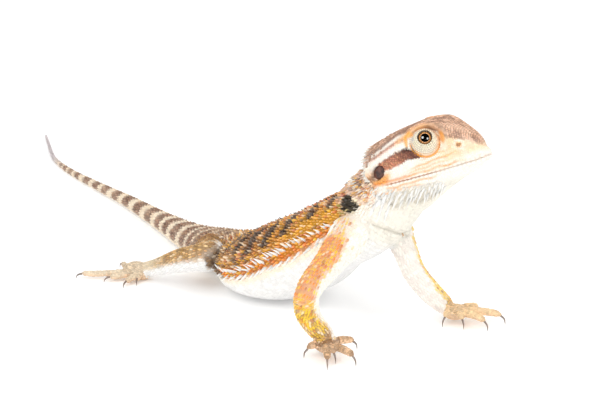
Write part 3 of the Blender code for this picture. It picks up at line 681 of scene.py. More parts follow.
def paint_leg(name, place, points, normals):
    """The colours of a leg, bright on its outer side and pale on its inner side, by place from the root."""
    patch = ripple(points, 1.8, 7.0)
    fine = ripple(points, 0.6, 1.0)
    if name == "right_front":
        low = ramp(place, 1.6, 2.4)
        outer = (normals @ np.array((-0.1, -0.62, 0.72))) * (1 - low)
        outer += (normals @ np.array((0.3, -0.9, 0.35))) * low
        later = 0.25 * ramp(place, 1.1, 0.6)
        fore = layered(
            between("arm_yellow", "arm_white", ramp(patch, 0.45, 0.75) * 0.6),
            ("hand_khaki", ramp(fine, 0.45, 0.7) * 0.6),
        )
        colour = layered(
            between("arm_orange", "arm_yellow", ramp(fine, 0.55, 0.8) * 0.5),
            ("arm_rust", (hump(place, 2.0, 0.3) * 0.4 + hump(place, 0.8, 0.4) * 0.3) * patch),
        )
        colour = mixed(colour, fore, ramp(place, 2.1, 2.6))
        colour = layered(colour, ("hand_khaki", ramp(place, 3.4, 4.2) * 0.75))
        inner = between("arm_white", "arm_yellow", ramp(fine, 0.5, 0.8) * 0.25 * ramp(outer, -0.2, 0.2))
        colour = mixed(inner, colour, ramp(outer, 0.05 + later, 0.45 + later))
        shoulder = layered(
            between("arm_white", "arm_khaki", ramp(fine, 0.5, 0.8) * 0.25),
            ("back_tan", ramp(normals[:, 2], 0.6, 0.9) * (0.25 + 0.6 * fine)),
        )
        return mixed(shoulder, colour, ramp(place, 0.45, 0.7))
    if name == "left_front":
        edge = 0.8 - 0.3 * ramp(place, 2.0, 4.2)
        share = ramp(normals @ np.array((0.62, 0.74, 0.25)) + 0.12 * patch, edge, edge + 0.17)
        colour = layered(
            between("arm_yellow", "arm_khaki", 0.3 + 0.5 * fine),
            ("hand_khaki", ramp(place, 3.0, 4.2) * fine * 0.8),
        )
        return mixed(between("arm_pink", "arm_white", ramp(patch, 0.3, 0.7) * 0.6), colour, share)
    outward = np.array((-0.2, -0.5 if name.startswith("right") else 0.6, 0.8))
    # Painted shade: thigh and shank are darkened with charcoal where they face the trunk.
    trunk_facing_shade = ramp(normals[:, 0], 0.55, 0.85) * ramp(place, 3.0, 2.4)
    share = np.maximum(ramp(normals @ outward, 0.25, 0.7), ramp(place, 1.6, 1.1))
    colour = layered(
        between("leg_tan", "leg_brown", 0.2 + 0.6 * patch),
        ("back_cream", ramp(fine, 0.6, 0.85) * 0.6),
        # Darker brown towards the root: partly the thigh's own brown and partly painted shade by the groin.
        ("leg_brown", ramp(place, 1.6, 0.9) * 0.7),
        ("bar_charcoal", trunk_facing_shade * 0.6),
        ("foot_grey", ramp(place, 3.2, 4.2)),
    )
    return mixed(coloured("belly_white"), colour, np.maximum(share, trunk_facing_shade))


def paint_foot(name, points, normals):
    """The colours of a palm and its toes."""
    fine = ripple(points, 0.7, 4.0)
    toe = 1.0 if "toe" in name else 0.0
    if name.startswith("left_front"):
        colour = between("hand_peach", "hand_khaki", (0.55 - 0.35 * toe) * fine)
    elif name.startswith("right_front"):
        pink = 0.02 + 0.3 * toe + 0.35 * ramp(fine, 0.4, 0.7)
        colour = layered(coloured("hand_khaki") * 0.85, ("hand_pink", pink))
    else:
        colour = between("foot_grey", "leg_brown", (0.35 - 0.15 * toe) * fine)
    return mixed(coloured("hand_pink"), colour, 0.35 + 0.65 * ramp(normals[:, 2], -0.3, 0.3))


def paint(region, place, turn, points, normals):
    """The markings at points of a region, with a painted shadow in the groin, shared by the skin and by what grows on
    it.
    """
    if region == "body":
        down = degrees_down(turn)
        edge = np.interp(down, (50, 60, 82, 100), (7.1, 6.8, 6.35, 6.2))
        # Painted shadow: charcoal laid on the trunk in the groin, where the thigh meets it.
        groin_shadow = ramp(place, edge, edge + 0.35) * ramp(place, 9.4, 8.6) * ramp(down, 42, 56) * ramp(down, 108, 96)
        return layered(paint_body(place, turn, points), ("bar_charcoal", groin_shadow * 0.85))
    if region == "head":
        return paint_head(points)
    if region.endswith("_leg"):
        return paint_leg(region[:-4], place, points, normals)
    return paint_foot(region, points, normals)


# The tones that single scales are picked out in, each up to that share of the draws.
MOTTLES = {
    "body": (("back_yellow", 0.24), ("back_cream", 0.37), ("back_red", 0.46), ("bar_charcoal", 0.56)),
    "head": (("cheek_white", 0.12), ("head_brown", 0.24), ("head_pink", 0.36), ("head_orange", 0.42)),
    "leg": (("arm_yellow", 0.36), ("arm_rust", 0.52), ("back_cream", 0.58)),
}


def mottled(site, draw):
    """A site's markings with the scales picked out one by one in lighter, darker and brighter tones."""
    colours = site["colour"]
    if site["kind"] not in MOTTLES:
        return colours
    luck = draw.random(len(colours))
    lively = ramp(np.ptp(colours, axis=1), 0.12, 0.3) * ramp(lightness(colours), 0.03, 0.12)
    if site["kind"] == "body":
        edge = flank_edge(site["place"])
        lively = lively * ramp(degrees_down(site["turn"]), edge - 2, edge - 8)
        lively = lively * (0.15 + 0.85 * ramp(site["place"], 9.6, 8.6))
    strength = 0.65 if site["kind"] == "body" or "front" in site["region"] else 0.1
    low = 0.0
    for tone, high in MOTTLES[site["kind"]]:
        colours = layered(colours, (tone, ((luck >= low) & (luck < high)) * lively * strength))
        low = high
    return colours


class SkinSettings(bpy.types.PropertyGroup):
    """The sizes of the skin."""

    grain: FloatProperty(name="Grain", description="Size of the skin's faces", default=0.36, min=0.2, max=1.0)
    depth: FloatProperty(name="Depth", description="How far the skin lies inside the solids, mm", default=0.22)
    softening: IntProperty(name="Softening", description="Rounds of smoothing where limbs meet the body", default=4)
    faces: IntProperty(name="Faces", description="Most triangles of the skin", default=180000)


class ScaleSettings(bpy.types.PropertyGroup):
    """The sizes of the scales."""

    height: FloatProperty(name="Height", description="Height of a scale for its length", default=0.26)
    overlap: FloatProperty(name="Overlap", description="Length of a scale for its spacing", default=1.25)
    variety: FloatProperty(name="Variety", description="Spread of the scales' brightness", default=0.2)
    seed: IntProperty(name="Seed", description="Start of the random draws", default=11)


class SpineSettings(bpy.types.PropertyGroup):
    """The sizes of the spines."""

    length: FloatProperty(name="Length", description="Length of every spine for its usual length", default=1.0)
    girth: FloatProperty(name="Girth", description="Girth of every spine for its usual girth", default=1.0)
    curl: FloatProperty(name="Curl", description="How far a tip bends back for its length", default=0.12)


class EyeSettings(bpy.types.PropertyGroup):
    """The sizes and colours of the eyes."""

    radius: FloatProperty(name="Radius", description="Radius of an eyeball, mm", default=3.42)
    pupil: FloatProperty(name="Pupil", description="Half angle of the pupil, degrees", default=22.0)
    iris: FloatProperty(name="Iris", description="Half angle of the iris, degrees", default=36.5)
    gold: FloatVectorProperty(
        name="Gold", description="Colour of the iris", subtype="COLOR", default=(0.62, 0.26, 0.06),
    )


class StageSettings(bpy.types.PropertyGroup):
    """The floor, light and camera."""

    floor: FloatVectorProperty(
        name="Floor", description="Colour of the floor", subtype="COLOR", default=(0.94, 0.94, 0.94),
    )
    room: FloatProperty(name="Room", description="Strength of the light that comes from all round", default=0.84)
    lens: FloatProperty(name="Lens", description="Focal length of the camera, mm", default=150.85)


def add_loft(bm, rings):
    """Adds a closed surface through rings of points to the bmesh."""
    loops = []
    for ring in rings:
        verts = bmesh.ops.create_circle(bm, segments=len(ring), radius=1)["verts"]
        for vert, point in zip(verts, ring):
            vert.co = point
        loops.append(list({edge for vert in verts for edge in vert.link_edges}))
    faces = []
    for first, second in zip(loops, loops[1:]):
        faces += bmesh.ops.bridge_loops(bm, edges=first + second)["faces"]
    for loop in (loops[0], loops[-1]):
        faces += bmesh.ops.holes_fill(bm, edges=loop, sides=0)["faces"]
    bmesh.ops.recalc_face_normals(bm, faces=faces)


def domed(surface, last, count, sides, caps=(False, True)):
    """Rings round a surface at even places, with domes past the ends that are asked for."""
    turns = np.arange(sides) / sides
    places = np.linspace(0, last, count)
    rings = [surface(np.full(sides, place), turns) for place in places]
    for at_end in (False, True):
        if not caps[at_end]:
            continue
        ring, near = (rings[-1], rings[-2]) if at_end else (rings[0], rings[1])
        centre = ring.mean(0)
        out = unit(centre - near.mean(0))
        radius = np.linalg.norm(ring - centre, axis=1).mean()
        extra = [
            centre + (ring - centre) * math.cos(math.radians(angle)) + out * radius * math.sin(math.radians(angle))
            for angle in (30, 55, 75)
        ]
        rings = rings + extra if at_end else extra[::-1] + rings
    return rings


def new_object(name, mesh):
    """The mesh as an object of that name in the scene."""
    made_object = bpy.data.objects.new(name, mesh)
    bpy.context.scene.collection.objects.link(made_object)
    return made_object


def read_points(mesh, what="co"):
    """The mesh's points, or its normals, as an array."""
    found = np.empty(len(mesh.vertices) * 3, np.float32)
    mesh.vertices.foreach_get(what, found)
    return found.reshape(-1, 3).astype(float)


def write_points(mesh, points):
    mesh.vertices.foreach_set("co", np.ascontiguousarray(points, np.float32).ravel())
    mesh.update()


def finish_shape(bm, name):
    """The bmesh, in the animal's millimetres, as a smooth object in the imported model's frame."""
    bmesh.ops.recalc_face_normals(bm, faces=bm.faces)
    mesh = bpy.data.meshes.new(name)
    bm.to_mesh(mesh)
    bm.free()
    write_points(mesh, to_row(read_points(mesh)))
    mesh.polygons.foreach_set("use_smooth", np.full(len(mesh.polygons), True))
    return new_object(name, mesh)


def placement(centre, *directions):
    """The matrix that sets a shape at a centre with its axes along the directions."""
    return Matrix.Translation(Vector(centre)) @ Matrix(np.stack(directions, 1).tolist()).to_4x4()


def tree_of(points):
    """A tree that finds the nearest of the points."""
    tree = KDTree(len(points))
    for index, point in enumerate(points):
        tree.insert(point, index)
    tree.balance()
    return tree


def set_colours(mesh, colours):
    """Gives each vertex its marking, with any painted shade and light, as a colour that the materials read."""
    attribute = mesh.color_attributes.new("marking_and_shade", "FLOAT_COLOR", "POINT")
    rgba = np.ones((len(mesh.vertices), 4), np.float32)
    rgba[:, :3] = np.clip(colours, 0, 1)
    attribute.data.foreach_set("color", rgba.ravel())


def raw_flesh():
    """The body, head, lids, legs and toes as closed surfaces that pass through one another."""
    bm = bmesh.new()
    add_loft(bm, domed(body_surface, SKIN_TAIL_END, 90, 56))
    add_loft(bm, domed(head_surface, len(HEAD) - 1, 60, 72))
    for hand in (-1, 1):
        eye = eye_directions(hand)[0]
        ball = bmesh.ops.create_uvsphere(bm, u_segments=40, v_segments=28, radius=LID_RADIUS)["verts"]
        bmesh.ops.translate(bm, vec=eye, verts=ball)
    for name, surface, last in regions()[2:]:
        if name.endswith("_leg"):
            add_loft(bm, domed(surface, last, 34, 28, caps=(True, True)))
        elif name.endswith("_palm"):
            turns = np.arange(24) / 24
            add_loft(bm, [surface(np.full(24, place), turns) for place in np.linspace(0.04, 0.96, 16)])
        else:
            add_loft(bm, domed(surface, last, 14, 14, caps=(False, True)))
    mesh = bpy.data.meshes.new("flesh")
    bm.to_mesh(mesh)
    bm.free()
    return mesh


def sculpt(points, normals):
    """Works the ears, eyes, nostrils, mouth and throat fold into the skin's points."""
    moved = points.copy()
    x, y, z = to_head(points).T
    groove = hump(z - mouth_height(x), 0.0, 0.22) * ramp(x, 0.5, 4.0)
    groove *= np.abs(y) > np.interp(x, (0, 30, 33), (6.0, 1.2, -1.0))
    moved -= normals * (groove * 0.4)[:, None]
    for hand in (-1, 1):
        eye, gaze, _, over = eye_directions(hand)
        away = points - lid_ball(hand)
        rise = away @ gaze
        aside = np.linalg.norm(away - gaze * rise[:, None], axis=1)
        reach = aside / LID_BALL * (1 + 0.1 * ramp(away @ over / LID_BALL, 0.0, 0.8))
        crease = math.sqrt(1 - 0.93**2) * LID_BALL
        sphere = np.sqrt(np.maximum(LID_BALL**2 - aside**2, 0.0))
        rim = crease + (np.maximum(rise, crease) - crease) * ramp(reach, 0.93, 1.32)
        target = np.where(reach < 0.93, sphere, np.minimum(rim, rise))
        chosen = (rise > 0.4) & (reach < 1.32) & (np.linalg.norm(away, axis=1) < 9)
        moved = np.where(chosen[:, None], moved + gaze * (target - rise)[:, None], moved)
        away = moved - eye
        radius = np.linalg.norm(away, axis=1)
        angle = np.degrees(np.arccos(np.clip((away @ gaze) / np.maximum(radius, 1e-9), -1, 1)))
        opening = math.degrees(math.asin(LID_OPENING / LID_RADIUS))
        inside = ramp(angle, opening + 1.5, opening - 2.5) * (radius < LID_RADIUS + 1.5)
        moved = mixed(moved, eye + unit(away) * EYE_HOLLOW, inside)
        outward = ear_directions(hand)[1]
        across, out = from_ear(points, hand)
        beside = np.abs(out) < 2.5
        moved -= outward * (ramp(across, 1.3, 1.02) * beside * 1.5)[:, None]
        moved += outward * (hump(across, 1.45, 0.16) * beside * 0.2)[:, None]
        gap = from_nostril(points, hand)
        moved -= normals * (ramp(gap, 0.7, 0.25) * 0.7)[:, None]
        moved += normals * (hump(gap, 1.0, 0.3) * 0.16)[:, None]
    return fold_throat(moved, normals)


def fold_throat(points, normals):
    """Presses the loose fold round the throat into the skin."""
    turns, places = np.meshgrid(np.arange(120) / 120, np.linspace(0.9, 2.1, 61))
    grid = body_surface(places.ravel(), turns.ravel())
    tree = tree_of(grid)
    near = np.nonzero(np.linalg.norm(points - grid.mean(0), axis=1) < 22)[0]
    moved = points.copy()
    for index in near:
        _, found, gap = tree.find(points[index])
        if gap > 1.5:
            continue
        place, turn = places.ravel()[found], turns.ravel()[found]
        down = degrees_down(turn)
        line = 1.58 - 0.18 * min(max((down - 85) / 45, 0), 1)
        strength = min(max((down - 78) / 20, 0), 1)
        groove = math.exp(-(((place - line) / 0.06) ** 2)) * 0.75
        groove -= math.exp(-(((place - line + 0.16) / 0.1) ** 2)) * 0.35
        moved[index] -= normals[index] * groove * strength
    return moved


def build_skin(settings):
    """The skin's mesh in the animal's millimetres: the flesh made one surface, softened, sculpted and thinned."""
    rough = new_object("rough", raw_flesh())
    remesh = rough.modifiers.new("whole", "REMESH")
    remesh.mode = "VOXEL"
    remesh.voxel_size = settings.grain
    soften = rough.modifiers.new("soften", "SMOOTH")
    soften.factor = 0.5
    soften.iterations = settings.softening
    graph = bpy.context.evaluated_depsgraph_get()
    mesh = bpy.data.meshes.new_from_object(rough.evaluated_get(graph))
    points = read_points(mesh)
    normals = read_points(mesh, "normal")
    points = sculpt(points, normals) - normals * settings.depth
    points[:, 2] = np.maximum(points[:, 2], 0.05)
    write_points(mesh, points)
    bpy.data.objects.remove(rough)
    smooth = new_object("smooth", mesh)
    local = to_head(points)
    on_head = ramp(local[:, 0], -10, -5) * ramp(np.linalg.norm(local - (13, 0, 0), axis=1), 30, 24)
    group = smooth.vertex_groups.new(name="thin")
    for share in (0.25, 1.0):
        chosen = np.nonzero((on_head > 0.5) == (share < 0.5))[0]
        group.add(chosen.tolist(), share, "REPLACE")
    triangles = sum(len(face.vertices) - 2 for face in mesh.polygons)
    thin = smooth.modifiers.new("thin", "DECIMATE")
    thin.ratio = min(1.0, settings.faces / triangles)
    thin.vertex_group = "thin"
    graph = bpy.context.evaluated_depsgraph_get()
    made_mesh = bpy.data.meshes.new_from_object(smooth.evaluated_get(graph))
    bpy.data.objects.remove(smooth)
    return made_mesh


def add_tail_end(mesh):
    """Adds the thin end of the tail, which starts inside the skin's own tail, to the mesh."""
    bm = bmesh.new()
    bm.from_mesh(mesh)

    def thin_surface(place, turn):
        points = body_surface(place, turn)
        centre = spline(BODY, place)[..., :3]
        return centre + (points - centre) * 0.9

    turns = np.arange(14) / 14
    rings = [thin_surface(np.full(14, place), turns) for place in np.linspace(THIN_TAIL_START, len(BODY) - 1, 60)]
    for ring in rings:
        ring[:, 2] = np.maximum(ring[:, 2], 0.05)
    add_loft(bm, rings)
    bm.to_mesh(mesh)
    bm.free()


def ring_sites(surface, first, last, pitch, width, draw, spread=0.12):
    """Places and turns of scales set in staggered rings: pitch and width give their spacing along and round, mm."""
    fine = np.linspace(first, last, 500)
    turns = np.arange(72) / 72
    rings = surface(fine[:, None], turns[None, :])
    steps = np.linalg.norm(np.diff(rings.mean(1), axis=0), axis=1)
    steps = np.maximum(steps, np.linalg.norm(np.diff(rings, axis=0), axis=2).mean(1))
    count = np.concatenate(([0], np.cumsum(steps / pitch((fine[1:] + fine[:-1]) / 2))))
    found = []
    for ring_index in range(int(count[-1])):
        place = np.interp(ring_index + 0.5, count, fine)
        ring = surface(np.full(72, place), turns)
        closed = np.concatenate((ring, ring[:1]))
        length = np.concatenate(([0], np.cumsum(np.linalg.norm(np.diff(closed, axis=0), axis=1))))
        number = max(5, round(length[-1] / width(place)))
        offset = 0.5 * (ring_index % 2)
        along_ring = (np.arange(number) + offset + draw.uniform(-spread, spread, number)) / number * length[-1]
        turn = np.interp(along_ring % length[-1], length, np.append(turns, 1.0)) % 1
        step = (fine[1] - fine[0]) / max(steps.mean(), 1e-6) * pitch(place)
        found.append(np.stack((place + step * draw.uniform(-spread, spread, number), turn), 1))
    return np.concatenate(found)


def snapped(points, limit):
    """The skin's nearest points and normals, with True where they are within the limit, mm."""
    tree = made["tree"]
    spots = np.zeros_like(points)
    normals = np.tile(UP, (len(points), 1))
    near = np.zeros(len(points), bool)
    for index, point in enumerate(points):
        spot, normal, _, _ = tree.find_nearest(Vector(point), limit)
        if spot is not None:
            spots[index], normals[index], near[index] = spot, normal, True
    return spots, normals, near


def along_surface(surface, place, turn, last):
    """The direction in which places rise at each place and turn."""
    after = surface(np.minimum(place + 0.05, last), turn)
    before = surface(np.maximum(place - 0.05, 0), turn)
    return unit(after - before)


# How far apart the scales of each kind of region stand along it and round it, mm, at places.
SPACINGS = {
    "body": (
        ((0, 2, 5, 8, 11, 14, 18, 22), (0.85, 1.0, 1.1, 1.1, 1.35, 1.5, 1.5, 1.5)),
        ((0, 2, 5, 8, 11, 14, 18, 22), (0.85, 1.0, 1.1, 1.1, 1.2, 1.1, 0.8, 0.5)),
    ),
    "head": (
        ((0, 2, 6, 9, 12), (0.82, 0.7, 0.68, 0.68, 0.6)), ((0, 2, 6, 9, 12), (0.8, 0.66, 0.64, 0.64, 0.58)),
    ),
    "leg": (((0, 1.8, 3, 5), (1.45, 1.4, 1.1, 0.85)), ((0, 2, 5), (1.05, 0.95, 0.75))),
    "palm": (((0, 1), (0.72, 0.72)), ((0, 1), (0.72, 0.72))),
    "toe": (((0, 1), (0.7, 0.7)), ((0, 1), (1.0, 1.0))),
}


def collect_sites(settings):
    """Every scale's place on the skin: its region, spot, normal, direction back, spacing and colour."""
    draw = np.random.default_rng(settings.seed)
    taken = []
    found = []
    for name, surface, last in regions():
        kind = next(kind for kind in SPACINGS if kind in name)
        pitch, width = (lambda p, row=row: np.interp(p, *row) for row in SPACINGS[kind])
        first, end = (0.06, 0.94) if kind == "palm" else (0.0, last)
        sites = ring_sites(surface, first, end, pitch, width, draw)
        place, turn = sites[:, 0], sites[:, 1]
        points = surface(place, turn)
        spots, normals, near = snapped(points, {"head": 1.7, "toe": 0.6}.get(kind, 0.85))
        near &= spots[:, 2] > 0.02
        if taken:
            tree = tree_of(taken)
            for index in np.nonzero(near)[0]:
                if tree.find(spots[index])[2] < 0.62 * float(width(place[index])):
                    near[index] = False
        place, turn, spots, normals = place[near], turn[near], spots[near], normals[near]
        taken += [tuple(spot) for spot in spots]
        lower = ramp(place, 2.2, 2.7) if name == "right_front_leg" else np.zeros(len(place))
        found.append({
            "region": name,
            "kind": kind,
            "place": place,
            "turn": turn,
            "spot": spots,
            "normal": normals,
            "back": along_surface(surface, place, turn, last) * (-1 if kind == "head" else 1),
            "spacing": np.stack((pitch(place), width(place)), 1),
            "colour": paint(name, place, turn, spots, normals),
            "root": mixed(coloured("arm_white"), coloured("arm_rust") * 0.7, lower * 0.85),
        })
    return found


def form_arrays(bm):
    """A small shape as arrays of points and triangles, with the bmesh freed."""
    bmesh.ops.triangulate(bm, faces=bm.faces)
    bm.verts.index_update()
    points = np.array([vert.co for vert in bm.verts])
    faces = np.array([[vert.index for vert in face.verts] for face in bm.faces])
    bm.free()
    return points, faces


def keeled_form(ridge=0.16, overhang=0.18):
    """A keeled scale one unit long and wide: low in front, with a ridge that rises to a tip over its rear edge."""
    bm = bmesh.new()
    bmesh.ops.create_cone(bm, cap_ends=True, segments=6, radius1=0.5, radius2=0.3, depth=1)
    points, faces = form_arrays(bm)
    top = points[:, 2] > 0
    along = points[:, 0] / 0.3
    points[:, 2] = np.where(top, 0.35 + 0.65 * (along + 1) / 2, -0.45)
    points[:, 1] = np.where(top, points[:, 1] * ridge / 0.3, points[:, 1])
    points[:, 0] = np.where(top, points[:, 0] * 1.1 + overhang, points[:, 0] * 1.12)
    return points, faces


def flat_form(sides, inset, radius=0.5, yaw=0.0):
    """A low plate one unit long and wide, with sloping sides."""
    bm = bmesh.new()
    bmesh.ops.create_cone(bm, cap_ends=True, segments=sides, radius1=radius, radius2=radius * inset, depth=1)
    bmesh.ops.rotate(bm, verts=bm.verts, cent=(0, 0, 0), matrix=Matrix.Rotation(yaw, 3, "Z"))
    points, faces = form_arrays(bm)
    points[:, 2] = np.where(points[:, 2] > 0, 0.75, -0.45)
    return points, faces


def plate_form(inset=0.82):
    """A low square plate one unit long and wide."""
    return flat_form(4, inset, 0.7, math.pi / 4)


def spine_form(curl):
    """A pointed spine one unit long and wide that bends back towards its tip."""
    bm = bmesh.new()
    bmesh.ops.create_cone(bm, cap_ends=True, segments=6, radius1=0.5, radius2=0.04, depth=1.3)
    bmesh.ops.translate(bm, vec=(0, 0, 0.35), verts=bm.verts)
    for height in np.linspace(0.1, 0.8, 4):
        everything = [*bm.verts, *bm.edges, *bm.faces]
        bmesh.ops.bisect_plane(bm, geom=everything, plane_co=(0, 0, height), plane_no=(0, 0, 1))
    points, faces = form_arrays(bm)
    height = np.clip(points[:, 2], 0, None)
    swell = 1 + 0.35 * hump(height, 0.25, 0.25)
    points[:, :2] *= swell[:, None]
    points[:, 0] += curl * height**2
    return points, faces


def lay(
    name, form, spots, normals, back, sizes, colours, uv, shade, tip=None, smooth=False, brush=None, pale_foot=0.84,
    root=None,
):
    """One joined mesh of a form set at every spot.

    Sizes are lengths, widths and heights in millimetres. The form's x runs back along the skin and its z out of it.
    Shade is painted shade and light: it darkens the form's foot and lights its top. A brush gives each point its
    marking, and the colours then only vary it. Pale_foot is the least painted shade at the foot of a pale form, and
    root is a colour that tints the foot. The OFBake map gives each form a small patch at its uv."""
    points, faces = form
    normals = unit(normals)
    back = unit(back - normals * (back * normals).sum(1)[:, None])
    side = np.cross(normals, back)
    scaled = points[None, :, :] * sizes[:, None, :]
    placed = (
        spots[:, None, :]
        + back[:, None, :] * scaled[:, :, :1]
        + side[:, None, :] * scaled[:, :, 1:2]
        + normals[:, None, :] * scaled[:, :, 2:]
    )
    placed[..., 2] = np.maximum(placed[..., 2], 0.0)
    count, each = len(spots), len(points)
    all_faces = (faces[None, :, :] + (np.arange(count) * each)[:, None, None]).reshape(-1, 3)
    mesh = bpy.data.meshes.new(name)
    mesh.vertices.add(count * each)
    mesh.loops.add(len(all_faces) * 3)
    mesh.polygons.add(len(all_faces))
    mesh.vertices.foreach_set("co", np.ascontiguousarray(to_row(placed.reshape(-1, 3)), np.float32).ravel())
    mesh.loops.foreach_set("vertex_index", all_faces.astype(np.int32).ravel())
    mesh.polygons.foreach_set("loop_start", np.arange(0, len(all_faces) * 3, 3, dtype=np.int32))
    height = points[:, 2]
    level = (height - height.min()) / (height.max() - height.min())
    tone = np.broadcast_to(colours[:, None, :], placed.shape)
    if brush:
        tone = tone * brush(placed.reshape(-1, 3)).reshape(placed.shape)
    # Painted shade and light: each form darkened at its foot, pale ones less, and lit at its top.
    pale = ramp(lightness(tone), 0.5, 0.85)
    foot = shade[0] + (max(shade[0], pale_foot) - shade[0]) * pale
    tone = tone * (foot + (shade[1] - foot) * level[None, :])[..., None]
    if root is not None:
        tone = mixed(tone, root[:, None, :], ramp(level, 0.5, 0.2)[None, :] * 0.35)
    if tip is not None:
        tone = mixed(tone, tip[:, None, :], ramp(level, 0.6, 1.0)[None, :])
    mesh.update()
    mesh.validate()
    set_colours(mesh, tone.reshape(-1, 3))
    bake = mesh.uv_layers.new(name="OFBake")
    patch = points[:, :2] / max(np.abs(points[:, :2]).max(), 1e-6) * BAKE_PATCH
    corner = (uv[:, None, :] + patch[None, :, :]).reshape(-1, 2)[all_faces.ravel()]
    bake.data.foreach_set("uv", np.ascontiguousarray(corner, np.float32).ravel())
    mesh.polygons.foreach_set("use_smooth", np.full(len(all_faces), smooth))
    return new_object(name, mesh)


def unwrap(site, box):
    """The place of each site in a box of the map: across by turn and up by place."""
    left, low, right, high = box
    place = site["place"]
    spread = (place - place.min()) / max(np.ptp(place), 1e-6)
    return np.stack((left + (right - left) * site["turn"], low + (high - low) * spread), 1)


def finish_piece(piece, material, slot, replaced=()):
    """Gives a piece its material, its ride and the nodes that it stands for. The slot is not used."""
    piece.data.materials.clear()
    piece.data.materials.append(material)
    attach(piece, "root")
    if replaced:
        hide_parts(*replaced)


def new_material(name, roughness):
    """A material, with its nodes, its links and its shader."""
    material = bpy.data.materials.new(name)
    material.use_nodes = True
    nodes, links = material.node_tree.nodes, material.node_tree.links
    shader = nodes["Principled BSDF"]
    shader.inputs["Roughness"].default_value = roughness
    return material, nodes, links, shader


def add_node(nodes, kind, **values):
    """A node of a kind, with values for its sockets."""
    node = nodes.new("ShaderNode" + kind)
    for socket, value in values.items():
        node.inputs[socket.replace("_", " ")].default_value = value
    return node


def add_noise(nodes, links, **values):
    """Noise through the piece."""
    noise = add_node(nodes, "TexNoise", **values)
    links.new(nodes.new("ShaderNodeTexCoord").outputs["Object"], noise.inputs["Vector"])
    return noise.outputs["Fac"]


def add_bands(nodes, links, level, stops):
    """The colour that a level has between stops, each a level and a colour."""
    band = nodes.new("ShaderNodeValToRGB")
    elements = band.color_ramp.elements
    while len(elements) < len(stops):
        elements.new(0.5)
    for element, (position, colour) in zip(elements, stops):
        element.position = position
        element.color = (*colour, 1)
    links.new(level, band.inputs["Fac"])
    return band.outputs["Color"]


def add_speckle(nodes, links, colour, noise, middle, half, low, high):
    """A colour made darker and lighter by noise: from low to high as the noise goes half each side of its middle."""
    level = add_node(nodes, "MapRange", From_Min=middle - half, From_Max=middle + half, To_Min=low, To_Max=high)
    links.new(noise, level.inputs["Value"])
    mix = nodes.new("ShaderNodeMix")
    mix.data_type = "RGBA"
    mix.blend_type = "MULTIPLY"
    mix.inputs["Factor"].default_value = 1
    links.new(colour, mix.inputs["A"])
    links.new(level.outputs["Result"], mix.inputs["B"])
    return mix.outputs["Result"]


def skin_material(name, roughness, grain, relief, speckle):
    """A skin or scale finish: its marking with painted shade and light, varied by fine noise, with a fine relief."""
    material, nodes, links, shader = new_material(name, roughness)
    shader.inputs["Specular IOR Level"].default_value = 0.35
    marking_and_shade = nodes.new("ShaderNodeVertexColor")
    marking_and_shade.layer_name = "marking_and_shade"
    noise = add_noise(nodes, links, Scale=grain, Detail=4, Roughness=0.6)
    tone = add_speckle(nodes, links, marking_and_shade.outputs["Color"], noise, 0.5, 0.2, 1 - speckle, 1 + speckle)
    links.new(tone, shader.inputs["Base Color"])
    bump = add_node(nodes, "Bump", Strength=relief, Distance=RELIEF_DEPTH)
    links.new(noise, bump.inputs["Height"])
    links.new(bump.outputs["Normal"], shader.inputs["Normal"])
    return material


def banded_material(name, roughness, grain, stops):
    """A finish whose colour runs between stops with noise."""
    material, nodes, links, shader = new_material(name, roughness)
    noise = add_noise(nodes, links, Scale=grain)
    links.new(add_bands(nodes, links, noise, stops), shader.inputs["Base Color"])
    return material


def eye_material(settings):
    """A moist eye: black pupil, gold streaked iris and a dark rim, by the angle from the gaze that it carries."""
    material, nodes, links, shader = new_material("eye_glass", 0.04)
    shader.inputs["Specular IOR Level"].default_value = 0.3
    angle = nodes.new("ShaderNodeAttribute")
    angle.attribute_name = "gaze_angle"
    pupil, iris, gold = settings.pupil / 90, settings.iris / 90, tuple(settings.gold)
    stops = (
        (0.0, (0.002, 0.002, 0.002)),
        (pupil, (0.002, 0.002, 0.002)),
        (pupil + 0.012, tuple(min(1.0, part * 1.3 + 0.18) for part in gold)),
        (pupil + 0.06, gold),
        (iris - 0.05, tuple(part * 0.45 for part in gold)),
        (iris, (0.035, 0.014, 0.008)),
        (1.0, (0.02, 0.01, 0.007)),
    )
    colour = add_bands(nodes, links, angle.outputs["Fac"], stops)
    noise = add_noise(nodes, links, Scale=3200, Detail=3)
    links.new(add_speckle(nodes, links, colour, noise, 0.5, 0.15, 0.3, 1.5), shader.inputs["Base Color"])
    return material


class DRAGON_OT_skin(bpy.types.Operator):
    """Makes the one skin that stands for all the flesh, and finds where its scales stand"""

    bl_idname = "dragon.skin"
    bl_label = "Skin"

    def execute(self, context):
        mesh = build_skin(context.scene.dragon_skin)
        add_tail_end(mesh)
        bm = bmesh.new()
        bm.from_mesh(mesh)
        made["tree"] = BVHTree.FromBMesh(bm)
        bm.free()
        sites = collect_sites(context.scene.dragon_scales)
        made["sites"] = sites
        spots = np.concatenate([site["spot"] for site in sites])
        colours = np.concatenate([
            mixed(site["colour"], site["root"], 0.25 if "front_leg" in site["region"] else 0.0)
            for site in sites
        ])
        tree = tree_of(spots)
        points = read_points(mesh)
        near = np.array([[found[1] for found in tree.find_n(point, 3)] for point in points])
        tone = colours[near].mean(1)
        # Painted shade: the skin between the scales is darkened, dark tones most.
        tone *= (0.62 + 0.3 * ramp(lightness(tone), 0.4, 0.75))[:, None]
        tone = paint_hollows(points, tone)
        write_points(mesh, to_row(points))
        set_colours(mesh, tone)
        mesh.polygons.foreach_set("use_smooth", np.full(len(mesh.polygons), True))
        piece = new_object("skin", mesh)
        finish_piece(piece, skin_material("bare_skin", 0.6, 2500, 0.4, 0.12), "back_skin", FLESH)
        return {"FINISHED"}


